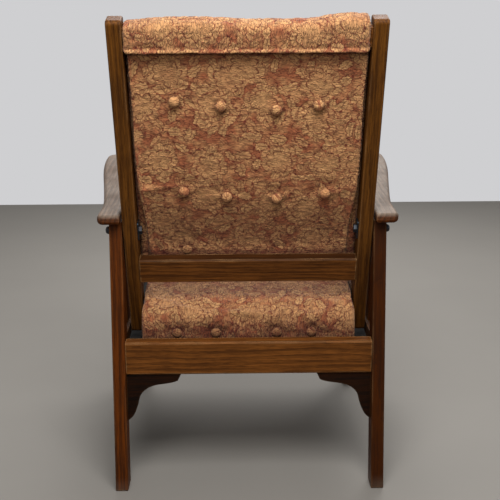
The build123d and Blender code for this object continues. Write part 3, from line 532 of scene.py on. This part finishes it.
def crinkled(piece, depth, place, seed, calm=nowhere, shade_marks=nowhere):
    """Sinks the cloth's fine creases into the mesh, and marks them for the material, which darkens them as
    painted shade, with the painted shade round the buttons and in the other shaded places."""
    mesh = piece.data
    points, normals = coordinates(mesh.vertices), coordinates(mesh.vertex_normals, "vector")
    local = seen_from(place, points)
    crease = np.empty(len(points))
    shift = Vector((seed, seed * 1.7, seed * 0.3))
    for index, (x, y, z) in enumerate(local):
        spot = Vector((x * 55, y * 80, z * 120)) + shift
        bend = noise.noise(spot * 0.4) * 1.6
        value = noise.noise(spot + Vector((bend, bend, bend))) + 0.45 * noise.noise(spot * 2.1)
        crease[index] = math.exp(-(value / 0.16) ** 2)
    share = 1 - calm(local)
    sink = depth * (crease - 0.35) * share
    mesh.vertices.foreach_set("co", (points - normals * sink[:, None]).astype(np.float32).ravel())
    marked = np.clip(crease * share + shade_marks(local), 0, 2)
    mesh.attributes.new("crease", "FLOAT", "POINT").data.foreach_set("value", marked.astype(np.float32))
    mesh.update()


def buttons_of(name, place):
    """Each covered button of a node, in the frame of the part that it is tied to: its middle, its lowest
    and its highest corner."""
    mesh = frame["nodes"][name].data
    points = coordinates(mesh.vertices)
    _, same = np.unique(np.round(points, 5), axis=0, return_inverse=True)
    same = same.ravel()
    group = np.arange(same.max() + 1)

    def root(k):
        while group[k] != k:
            group[k] = group[group[k]]
            k = group[k]
        return k

    for edge in mesh.edges:
        a, b = (root(same[v]) for v in edge.vertices)
        group[max(a, b)] = min(a, b)
    labels = np.array([root(k) for k in same])
    local = seen_from(place, points)
    buttons = [local[labels == label] for label in np.unique(labels)]
    return [((b.min(0) + b.max(0)) / 2, b.min(0), b.max(0)) for b in buttons]


# Radius and height of a covered button from its top to its underside, in millimetres
BUTTON_PROFILE = ((0.0, 10.4), (2.6, 10.1), (5.2, 9.2), (7.6, 7.6), (9.6, 5.4), (10.9, 2.9), (11.2, 0.6),
                  (10.4, -1.4), (8.5, -2.6), (0.0, -2.8))


def finish_cover(piece, node_name, body, cloth=None):
    """Clothes a cover, and makes it a padded piece of its body that stands for a node."""
    piece.data.materials.clear()
    piece.data.materials.append(cloth or shared("cloth jacquard crinkled", jacquard))
    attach(piece, body)
    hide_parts(node_name)


def button_object(name, seats, body, node_name, cloth):
    """Buttons covered in the same cloth, drawn under at the rim. A seat is a button's middle, axis,
    height and how much painted shade it gets."""
    points, faces, flat, painted_shades = [], [], [], []
    spokes = 28
    for number, (middle, axis, height, painted_shade) in enumerate(seats):
        turn = axis.to_track_quat("Z", "Y").to_matrix()
        rows = []
        for ring, (radius, lift) in enumerate(BUTTON_PROFILE):
            row = []
            for spoke in range(1 if radius == 0 else spokes):
                angle = math.tau * spoke / spokes
                ripple = 1 + 0.03 * math.sin(7 * angle + number) * ring / len(BUTTON_PROFILE)
                skew = 0.35 * math.sin(angle + number * 1.9)
                spot = Vector((radius * ripple * math.cos(angle), radius * ripple * math.sin(angle),
                               lift * height + skew * radius / 10)) * MM
                row.append(len(points))
                points.append(middle + turn @ spot)
                flat.append((spot.x + 0.11 * number, spot.y + 0.07 * number))
                painted_shades.append(painted_shade)
            rows.append(row)
        for upper, lower in zip(rows, rows[1:]):
            for spoke in range(spokes):
                after = (spoke + 1) % spokes
                high, low = len(upper), len(lower)
                face = upper[spoke % high], lower[spoke % low], lower[after % low], upper[after % high]
                faces.append(tuple(dict.fromkeys(face)))
    piece = new_piece(name, points, faces, [flat[corner] for face in faces for corner in face])
    piece.data.attributes.new("crease", "FLOAT", "POINT").data.foreach_set("value", painted_shades)
    smoothed(piece)
    finish_cover(piece, node_name, body, cloth)


def tuft(across, along, x, z, seed):
    """How far the cloth is drawn in round one button, from 1 under it to 0 at the reach of its pleats,
    and where it is tied fast."""
    dx, dz = across - x, along - z
    reach = np.hypot(dx, dz)
    angle = np.arctan2(dz, dx)
    spread = 0.042 * (1 + 0.22 * np.cos(5 * angle + seed) + 0.1 * np.cos(3 * angle + 2 * seed))
    return ease(1 - (reach - 0.008) / spread) ** 1.6, reach < TIED


class ARMCHAIR_OT_oak(bpy.types.Operator):
    """Finishes the oak of the frame and of the back"""
    bl_idname = "armchair.oak"
    bl_label = "Varnish the oak"

    def execute(self, context):
        wood = context.scene.armchair_wood
        rail, leg, stile = list(wood.rail_colour), list(wood.leg_colour), list(wood.stile_colour)
        cross, deep = (0, math.pi / 2, 0), (math.pi / 2, 0, 0)
        upright = (0, 0, 0)

        def finish(kind, name, *details, **more):
            dress([name], shared(f"oak {kind} " + name.replace("_", " "), oak, *details, **more))

        pieces = (
            ("rear_seat_rail", cross, rail, {"darker": 0.85, "worn": 1.0}),
            ("front_seat_rail", cross, rail, {}),
            # Its top faces are darkened as painted shade, where the back panel hangs over them
            ("back_lower_rail", cross, tinted(rail, 0.85),
             {"darker": 0.9, "worn": 1.0, "top_fade_and_painted_light": 0.9, "grimed": True}),
            ("back_top_rail", cross, rail, {}),
            ("rear_leg_left", (-LEG_RAKE, 0, 0), leg, {"worn": 0.7, "foot": 0.25}),
            # The right rear leg is painted darker, as shade on the side away from the light
            ("rear_leg_right", (-LEG_RAKE, 0, 0), tinted(leg, 0.45), {"worn": 0.6, "foot": 0.45}),
            ("front_leg_left", upright, leg, {"foot": 0.3}),
            ("front_leg_right", upright, leg, {"foot": 0.3}),
            ("back_stile_left", (LEAN, 0, 0), stile, {"worn": 0.9}),
            ("back_stile_right", (LEAN, 0, 0), stile, {"worn": 0.8}),
            # The arms' grey tops are faded varnish with a painted sheen of the room's light
            ("arm_left", deep, leg, {"top_fade_and_painted_light": 0.9}),
            ("arm_right", deep, leg, {"top_fade_and_painted_light": 0.95}),
            # The side seat rails are painted darker, as the shade on their inner faces
            ("side_seat_rail_left", deep, tinted(rail, 0.4), {}),
            ("side_seat_rail_right", deep, tinted(rail, 0.4), {}))
        # Each piece is cut from another place in the log
        for number, (name, turn, base, more) in enumerate(pieces):
            shift = (0.037 * number, 0.053 * number, 0.31 * number)
            finish("varnished", name, turn, base, shift, **more)
        for side in ("left", "right"):
            for number in range(3):
                finish("varnished", f"side_slat_{side}_{number + 1}", upright, leg,
                       (0.041 * number, 0.3 * number, 0.2))
        # The brackets' near black is a dark stain with painted shade, standing in for the shade under the
        # seat
        for number, name in enumerate(("rear_bracket_left", "rear_bracket_right", "front_bracket_left",
                                       "front_bracket_right")):
            finish("stained", name, cross, linear("0B0705"), (0, 0.05 * number, 0.3 * number),
                   worn=0.12, darker=0.8, gloss=0.05)
        dress(["seat_side_left", "seat_side_right"], shared("oak bare lengthwise", bare_wood, deep, "5E452B"))
        # The runners are painted very dark, as the shade in the narrow gap beside the stiles
        dress(["seat_runner_left", "seat_runner_right"],
              shared("oak bare grimed dark", bare_wood, deep, "1A120B"))
        dress(["seat_front_bar", "seat_rear_bar"], shared("oak bare crosswise", bare_wood, cross, "5E452B"))
        dress(["seat_frame_dowels"], shared("birch dowel", bare_wood, cross, "CDB083"))
        return {"FINISHED"}


class ARMCHAIR_OT_iron(bpy.types.Operator):
    """Finishes the bolts, plates, pins and screws"""
    bl_idname = "armchair.iron"
    bl_label = "Blacken the ironwork"

    def execute(self, context):
        iron = shared("iron forged and oiled", metal, "3A3D42", 0.42, 0.35)
        plates = shared("iron plate sheared", metal, "34404A", 0.38, 0.15)
        steel = shared("steel turned dull", metal, "77736C", 0.36, 0.3)
        dress(["pivot_bolt_left", "pivot_bolt_right", "pivot_nuts", "pivot_washers", "foot_pin_left",
               "foot_pin_right"], iron)
        dress(["pivot_plate_left", "pivot_plate_right", "slot_plate_left", "slot_plate_right"], plates)
        dress(["bracket_screws", "pivot_plate_screws", "slot_plate_screws"], steel)
        return {"FINISHED"}


class ARMCHAIR_OT_webbing(bpy.types.Operator):
    """Finishes the webbing under the seat"""
    bl_idname = "armchair.webbing"
    bl_label = "Weave the webbing"

    def execute(self, context):
        dress(["seat_webbing", "seat_cross_webbing"], shared("jute webbing", jute))
        return {"FINISHED"}


class ARMCHAIR_OT_back_panel(bpy.types.Operator):
    """Makes the buttoned pad of the back"""
    bl_idname = "armchair.back_panel"
    bl_label = "Pad the back"

    def execute(self, context):
        stuffing, cloth = context.scene.armchair_stuffing, context.scene.armchair_cloth
        pitch = stuffing.mesh_pitch
        wide, corner = 0.2368, 0.007
        top, bottom, turn_top, turn_low = 0.4035, -0.139, 0.11, -0.062
        levels = (-0.14, 0, 0.025, 0.075, 0.1, 0.4)
        widths = (0.2185, 0.2192, 0.2212, 0.2282, 0.2312, 0.2322)
        rear_seats, front_seats = buttons_of("rear_buttons", BACK), buttons_of("front_buttons", BACK)
        rows = int((top - bottom) / pitch)
        columns = int(2 * wide / pitch)
        side = 12
        rings, tied = [], []
        for row in range(rows + 1):
            level = top + (bottom - top) * row / rows
            # The rear face curves in behind the lower rail, and both faces meet at the bottom edge
            turn = ease((turn_top - level) / (turn_top - turn_low))
            rear = 0.0165 - 0.0205 * turn
            lift = (level - bottom) / (top - bottom)
            front = -0.033 - 0.0275 * math.sin(math.pi * min(1, max(0, lift * 0.88 + 0.08))) ** 0.75
            close = min(1.0, (level - bottom) / 0.03)
            close = math.sqrt(max(0.02, 1 - (1 - close) ** 2))
            centre = (rear + front) / 2
            rear, front = centre + (rear - centre) * close, centre + (front - centre) * close
            # The sides pull in a little between the rows of buttons
            waist = 0.0008 * math.cos(math.tau * (level - 0.187) / 0.2)
            edge = float(np.interp(level, levels, widths)) + waist - 0.006 * (1 - close)
            swell = wide + 0.0006 - 0.012 * (1 - close)
            over = 0.005 * close
            x_rear = np.linspace(edge - corner, -(edge - corner), columns + 1)
            x_front = np.linspace(-(swell - 0.02), swell - 0.02, columns + 1)
            y_rear = rear - 0.0028 * np.abs(x_rear / edge) ** 3.2
            y_front = front * (1 - 0.3 * np.abs(x_front / swell) ** 3.2)
            draw_rear, draw_front = np.zeros_like(x_rear), np.zeros_like(x_rear)
            pin_rear, pin_front = np.zeros_like(x_rear), np.zeros_like(x_rear)
            for number, (middle, low, high) in enumerate(rear_seats):
                pull, fast = tuft(x_rear, level, middle[0], middle[2], number)
                draw_rear = np.maximum(draw_rear, pull * max(0.0, rear - low[1] + DRAWN_PAST))
                pin_rear = np.maximum(pin_rear, fast)
            for number, (middle, low, high) in enumerate(front_seats):
                pull, fast = tuft(x_front, level, middle[0], middle[2], number + 0.5)
                there = np.interp(middle[0], x_front, y_front)
                draw_front = np.maximum(draw_front, pull * max(0.0, high[1] - there + DRAWN_PAST))
                pin_front = np.maximum(pin_front, fast)
            y_rear, y_front = y_rear - draw_rear, y_front + draw_front
            # The top rows are tied to the rail, and the rear also where it passes the lower rail
            top_row = row < 3
            hold = top_row or abs(level - turn_low + 0.03) < 0.03
            # Each side: round the rear corner, in along a seam, then out to the fuller front
            back_y, front_y = float(y_rear[-1]), float(y_front[0])
            seam_y = min(back_y - 0.006, -0.0135) if close > 0.9 else (back_y + front_y) / 2
            outline = (
                (edge - corner, back_y), (edge - 0.002, back_y - 0.0012), (edge, back_y - 0.005),
                (edge - 0.0015, seam_y + 0.003), (edge - 0.001, seam_y), (swell - 0.001, seam_y - 0.003),
                (swell, seam_y - 0.0085), (swell + over * 0.7, seam_y - 0.0135),
                (swell + over, (seam_y + front_y) / 2 - 0.006), (swell - 0.002, front_y + 0.007),
                (swell - 0.01, front_y + 0.0022), (swell - 0.02, front_y))
            side_x, side_y = (line[1:-1] for line in spaced(outline, side + 2))
            across = np.concatenate([x_rear, -side_x, x_front, side_x[::-1]])
            inward = np.concatenate([y_rear, side_y, y_front, side_y[::-1]])
            rings.append(np.column_stack([across, inward, np.full(len(across), level)]))
            tied.append(np.concatenate([np.maximum(pin_rear, hold), np.ones(side),
                                        np.maximum(pin_front, top_row), np.ones(side)]))
        piece = ring_mesh("back_panel", rings, BACK)
        swollen(piece, np.ravel(tied), stuffing.back_swell)
        smoothed(piece)
        spots = np.array([[m[0], m[2]] for m, _, _ in rear_seats])

        def nearness(local):
            return np.min(np.hypot(local[:, None, 0] - spots[:, 0], local[:, None, 2] - spots[:, 1]), axis=1)

        def calm(local):
            return ease(1 - (nearness(local) - 0.007) / 0.01)

        def shade_marks(local):
            # Painted shade: a ring round each button, and shadows under the roll's hem and along the lower
            # rail's top
            seam_shadow = np.maximum(1 - np.abs(local[:, 2] - 0.3945) / 0.005,
                               1 - np.abs(local[:, 2] - turn_low) / 0.009)
            rear = ease((local[:, 1] + 0.03) / 0.01)
            # The rear is painted darker down the pad, as shade
            darker_below = 0.05 + 0.8 * ease((0.16 - local[:, 2]) / 0.26)
            return 0.9 * ease(1 - (nearness(local) - 0.011) / 0.009) + (1.8 * ease(seam_shadow) + darker_below) * rear

        crinkled(piece, cloth.pucker_depth, BACK, 3.1, calm, shade_marks)
        finish_cover(piece, "back_cushion", "back")
        return {"FINISHED"}


class ARMCHAIR_OT_top_roll(bpy.types.Operator):
    """Rolls the cloth over the top rail"""
    bl_idname = "armchair.top_roll"
    bl_label = "Roll the top"

    def execute(self, context):
        cloth = context.scene.armchair_cloth
        # The crest's height above its lowest, at places across the back from the sitter's right
        places = np.array([-236, -201, -180, -150, -125, -87, 11, 74, 146, 184, 211, 236]) * MM
        crests = np.array([9.5, 12.0, 10.5, 7.0, 2.0, 1.0, 1.0, 5.0, 5.8, 3.2, 1.0, -1.5]) * MM
        left, right = 0.2378, 0.2338
        columns, around = 110, 50
        core_y, core_z = -0.008, 0.425
        rings = []
        for column in range(columns + 1):
            x = left - (left + right) * column / columns
            inward = min(1.0, min(left - x, x + right) / 0.007)
            shrink = 1 - 0.16 * (1 - math.sqrt(max(0, 1 - (1 - inward) ** 2)))
            crest = 0.4545 + float(np.interp(x, places, crests))
            crest += 0.0012 * noise.noise(Vector((x * 40, 2.0, 0)))
            puff = 0.0016 * noise.noise(Vector((x * 26, 7.0, 0)))
            hem = 0.3988 + 0.0016 * noise.noise(Vector((x * 33, 11.0, 0)))
            fold = 0.0036 * float(ease(1 - abs(x - 0.195) / 0.032))
            outline = (
                (0.0255, hem - 0.0012), (0.0285, hem), (0.0292, hem + 0.0026), (0.0278, hem + 0.0048),
                (0.0236, hem + 0.0066), (0.0246 - fold, hem + 0.0105), (0.0255 + puff, hem + 0.018),
                (0.0258 + puff, hem + 0.028),
                (0.0255 + puff, crest - 0.0185), (0.0243, crest - 0.0108), (0.0195, crest - 0.0052),
                (0.009, crest - 0.0018), (-0.003, crest), (-0.014, crest - 0.0012), (-0.0245, crest - 0.0062),
                (-0.0335, crest - 0.0148), (-0.0388, crest - 0.0255), (-0.0402, crest - 0.037),
                (-0.0388, 0.4105), (-0.0345, 0.4058), (-0.0245, 0.405), (0.0, 0.405), (0.0175, 0.405),
                (0.0195, 0.403), (0.0199, hem + 0.0015), (0.0214, hem - 0.0002))
            ys, zs = (line[:-1] for line in spaced(outline + (outline[0],), around + 1))
            rings.append([(x, core_y + (y - core_y) * shrink, core_z + (z - core_z) * shrink)
                          for y, z in zip(ys, zs)])
        piece = ring_mesh("top_roll", rings, BACK, seam_shift=0.31)
        smoothed(piece)
        crinkled(piece, cloth.pucker_depth * 0.8, BACK, 9.4)
        finish_cover(piece, "back_top_roll", "back")
        return {"FINISHED"}


class ARMCHAIR_OT_seat_pad(bpy.types.Operator):
    """Makes the crowned pad of the seat"""
    bl_idname = "armchair.seat_pad"
    bl_label = "Pad the seat"

    def execute(self, context):
        stuffing, cloth = context.scene.armchair_stuffing, context.scene.armchair_cloth
        pitch = stuffing.mesh_pitch
        half, base, rear, front, foot = 0.2332, 0.037, 0.0142, -0.5185, 0.0095
        bar_rear, bar_front, rear_turn, front_turn = 0.0004, -0.5057, 0.08, 0.055
        seats = buttons_of("seat_buttons", SEAT)
        rear_seats = [s for s in seats if s[0][1] > REAR_ROW]
        top_seats = [s for s in seats if s[0][1] <= REAR_ROW]
        columns = int(2 * half / pitch)
        # Stations across the pad: its edges are rounded, so the outline is smaller by an inset there
        edge = 0.011
        corner = [(half - edge * (1 - math.sin(a)), edge * (1 - math.cos(a)))
                  for a in np.linspace(math.pi / 2, 0, 7)[:-1]]
        inner = [(x, 0.0) for x in np.linspace(half - edge, -(half - edge), columns - 8)]
        stations = corner + inner + [(-x, inset) for x, inset in reversed(corner)]
        rings, tied = [], []
        for x, inset in stations:
            crown = 0.0815 * (1 - 0.05 * abs(x / half) ** 3)
            quarter = np.linspace(0, math.pi / 2, 9)[1:]
            profile = [(rear - 0.001, foot), (rear, foot + 0.006), (rear, base - 0.006)]
            profile += [(rear - rear_turn * (1 - math.cos(a)), base + 0.955 * crown * math.sin(a) ** 0.92)
                        for a in quarter]
            profile += [(-0.16, base + crown * 0.99), (-0.25, base + crown), (-0.37, base + crown * 0.985)]
            profile += [(front + front_turn * (1 - math.cos(a)), base + 0.93 * crown * math.sin(a) ** 0.9)
                        for a in quarter[::-1]]
            bar_top = base - 0.0004
            profile += [(front, base - 0.006), (front, foot + 0.006), (front + 0.001, foot),
                        (bar_front, foot), (bar_front, bar_top), (-0.25, bar_top), (bar_rear, bar_top),
                        (bar_rear, foot), profile[0]]
            if not rings:
                around = 2 * int(np.hypot(*np.diff(profile, axis=0).T).sum() / pitch / 2)
            ys, zs = (line[:-1] for line in spaced(profile, around + 1))
            pins = np.zeros(around)
            outside = ease((ys + 0.07) / 0.05) * ((zs > 0.012) & ~((ys < 0.006) & (zs < 0.045)))
            for number, (middle, low, high) in enumerate(rear_seats):
                pull, fast = tuft(x, zs, middle[0], middle[2], number + 2.0)
                ys = ys - pull * outside * max(0.0, rear - low[1] + DRAWN_PAST)
                pins = np.maximum(pins, fast & (outside > 0.5))
            for number, (middle, low, high) in enumerate(top_seats):
                side = zs > base + 0.03
                pull, fast = tuft(x, ys, middle[0], middle[1], number + 1.0)
                order = np.argsort(ys[side])
                there = np.interp(middle[1], ys[side][order], zs[side][order])
                zs = zs - pull * side * max(0.0, there - low[2] + DRAWN_PAST)
                pins = np.maximum(pins, fast & side)
            pins = np.maximum(pins, (zs < base + 0.004) | (abs(x) > half - 0.022))
            # Towards each end the outline draws in by the corner's rounding
            off_y = ys - np.clip(ys, front + 0.04, rear - 0.04)
            off_z = zs - np.clip(zs, base + 0.02, base + crown - 0.03)
            far = np.maximum(np.hypot(off_y, off_z), 1e-6)
            ys, zs = ys - off_y / far * inset, zs - off_z / far * inset
            # Behind and above the slot plates the pad is free to fill the space between the stiles
            wider = 1 + 0.0168 * np.maximum(ease((ys + 0.042) / 0.03), ease((zs - 0.098) / 0.012))
            rings.append([(x * w, y, z) for w, y, z in zip(wider, ys, zs)])
            tied.append(pins)
        piece = ring_mesh("seat_pad", rings, SEAT, seam_shift=0.07)
        swollen(piece, np.ravel(tied), stuffing.seat_swell)
        smoothed(piece)
        spots = np.array([m for m, _, _ in seats])

        def nearness(local):
            return np.min(np.linalg.norm(local[:, None, :] - spots, axis=2), axis=1)

        def calm(local):
            # The flat ends lie against the slot plates and clear of the foot pins
            return ease((abs(local[:, 0]) - half + 0.004) / 0.003) * ease((0.104 - local[:, 2]) / 0.01)

        def shade_marks(local):
            # The rear's lower edge is painted darker, as shade where the rail hides it, and so is a ring
            # round each button
            painted_shade = 0.1 + 1.4 * ease((0.092 - local[:, 2]) / 0.058)
            at_rear = ease((local[:, 1] + 0.07) / 0.05)
            return 0.9 * ease(1 - (nearness(local) - 0.012) / 0.012) + painted_shade * at_rear

        crinkled(piece, cloth.pucker_depth, SEAT, 5.7, calm, shade_marks)
        finish_cover(piece, "seat_cushion", "seat")
        return {"FINISHED"}


class ARMCHAIR_OT_buttons(bpy.types.Operator):
    """Ties the covered buttons down"""
    bl_idname = "armchair.buttons"
    bl_label = "Tie the buttons"

    def execute(self, context):
        cloth = shared("cloth jacquard stretched on buttons", jacquard, ink_share=0.8)
        behind, ahead, above = Vector((0, 1, 0)), Vector((0, -1, 0)), Vector((0, 0, 1))
        groups = (("covered_buttons_rear", "rear_buttons", "back", BACK, behind),
                  ("covered_buttons_front", "front_buttons", "back", BACK, ahead),
                  ("covered_buttons_seat", "seat_buttons", "seat", SEAT, above))
        for name, node_name, body, place, axis in groups:
            seats = []
            for middle, _, _ in buttons_of(node_name, place):
                middle = Vector(middle)
                facing = behind if body == "seat" and middle.y > REAR_ROW else axis
                base = middle - facing * 3 * MM
                # The one just above the lower rail is squeezed into the cloth, and it and the seat's rear row
                # are painted darker, as shade like the cloth round them
                height, painted_shade = 1.0, 0.0
                if node_name == "rear_buttons" and middle.z < 0:
                    height, painted_shade = 0.5, 0.8
                    base -= Vector((0, 2 * MM, 6.5 * MM))
                elif body == "seat" and facing == behind:
                    height, painted_shade = 0.65, 1.5
                seats.append((place @ base, place.to_3x3() @ facing, height, painted_shade))
            button_object(name, seats, body, node_name, cloth)
        return {"FINISHED"}


class ARMCHAIR_OT_stage(bpy.types.Operator):
    """Sets the pale floor, the soft light and the camera behind the chair"""
    bl_idname = "armchair.stage"
    bl_label = "Set the stage"

    def execute(self, context):
        scene, stage = context.scene, context.scene.armchair_stage
        mesh = bpy.data.meshes.new("floor")
        wide, ahead = 9, -2.7
        mesh.from_pydata([(-wide, ahead, 0), (wide, ahead, 0), (wide, wide, 0), (-wide, wide, 0)], [],
                         [(0, 1, 2, 3)])
        floor = bpy.data.objects.new("floor", mesh)
        scene.collection.objects.link(floor)
        base = list(stage.floor_colour)
        mesh.materials.append(new_material("floor plain matt", [
            OBJECT_PLACE, ("speck", "TexNoise", "place", 3.0, 3.0),
            ("colour", "Mix.RGBA", "speck", base, tinted(base, 0.9))], {"Roughness": 0.75}))

        world = bpy.data.worlds.new("room")
        scene.world = world
        world.use_nodes = True
        tree = world.node_tree
        tree.nodes.clear()
        # Camera, mirror and glass see the pale wall, and the lamps' fill comes from the dimmer room
        values = worked(tree, [
            ("camera:Is Camera Ray,glass:Is Transmission Ray,mirror:Is Glossy Ray", "LightPath"),
            ("seen", "MAXIMUM", ("MAXIMUM", "camera", "glass"), "mirror"),
            ("room", "Background", linear("FFFCF6"), stage.sky_strength),
            ("wall", "Background", linear("CFCFD1"), 1.0),
            ("mixed", "MixShader", "seen", "room", "wall")])
        node(tree, "OutputWorld", {"Surface": values["mixed"]})

        lamps = (("overhead soft box", (-0.1, 1.05, 1.9), (0, 0.2, 0.7), 0.9, stage.key_power),
                 ("window soft box", (0.5, 2.0, 1.8), (0, 0.2, 0.7), 1.2, stage.key_power * 0.45),
                 ("front soft box", (-0.3, -1.7, 2.4), (0, 0.1, 0.6), 2.0, stage.key_power * 2.4))
        for name, spot, aim, width, power in lamps:
            lamp = bpy.data.lights.new(name, "AREA")
            lamp.shape, lamp.size, lamp.energy = "SQUARE", width, power
            holder = bpy.data.objects.new(name, lamp)
            holder.matrix_world = Matrix.Translation(spot) @ (
                Vector(aim) - Vector(spot)).to_track_quat("-Z", "Y").to_matrix().to_4x4()
            scene.collection.objects.link(holder)

        camera = bpy.data.cameras.new("camera")
        camera.lens, camera.sensor_width, camera.shift_x = stage.lens, 36, 0.004
        holder = bpy.data.objects.new("camera", camera)
        holder.matrix_world = (
            Matrix.Translation((stage.camera_aside, PIVOT[1] + stage.camera_distance, stage.camera_height))
            @ Matrix.Rotation(math.pi - math.atan2(stage.camera_aside, stage.camera_distance), 4, "Z")
            @ Matrix.Rotation(math.pi / 2 - stage.camera_pitch, 4, "X")
            @ Matrix.Rotation(math.radians(-0.3), 4, "Z"))
        scene.collection.objects.link(holder)
        scene.camera = holder
        scene.view_settings.view_transform = "Standard"
        return {"FINISHED"}


class ARMCHAIR_PT_panel(bpy.types.Panel):
    """The chair's making steps and sizes"""
    bl_label = "Armchair"
    bl_idname = "ARMCHAIR_PT_panel"
    bl_space_type = "VIEW_3D"
    bl_region_type = "UI"
    bl_category = "Armchair"

    def draw(self, context):
        for step in STEPS:
            self.layout.operator(step.bl_idname)
        for group in (context.scene.armchair_wood, context.scene.armchair_cloth,
                      context.scene.armchair_stuffing, context.scene.armchair_stage):
            box = self.layout.box()
            for key in group.__annotations__:
                box.prop(group, key)


GROUPS = {"armchair_wood": ArmchairWood, "armchair_cloth": ArmchairCloth,
          "armchair_stuffing": ArmchairStuffing, "armchair_stage": ArmchairStage}
STEPS = (ARMCHAIR_OT_stage, ARMCHAIR_OT_oak, ARMCHAIR_OT_iron, ARMCHAIR_OT_webbing, ARMCHAIR_OT_back_panel,
         ARMCHAIR_OT_top_roll, ARMCHAIR_OT_seat_pad, ARMCHAIR_OT_buttons)


def register():
    """Adds the chair's properties, steps and panel."""
    for key, group in GROUPS.items():
        bpy.utils.register_class(group)
        setattr(bpy.types.Scene, key, bpy.props.PointerProperty(type=group))
    for step in STEPS + (ARMCHAIR_PT_panel,):
        bpy.utils.register_class(step)


def unregister():
    """Takes them away again."""
    for step in reversed(STEPS + (ARMCHAIR_PT_panel,)):
        bpy.utils.unregister_class(step)
    for key, group in GROUPS.items():
        delattr(bpy.types.Scene, key)
        bpy.utils.unregister_class(group)


def main():
    """Makes the chair step by step."""
    register()
    for step in STEPS:
        area, name = step.bl_idname.split(".")
        getattr(getattr(bpy.ops, area), name)()


if __name__ == "__main__":
    main()
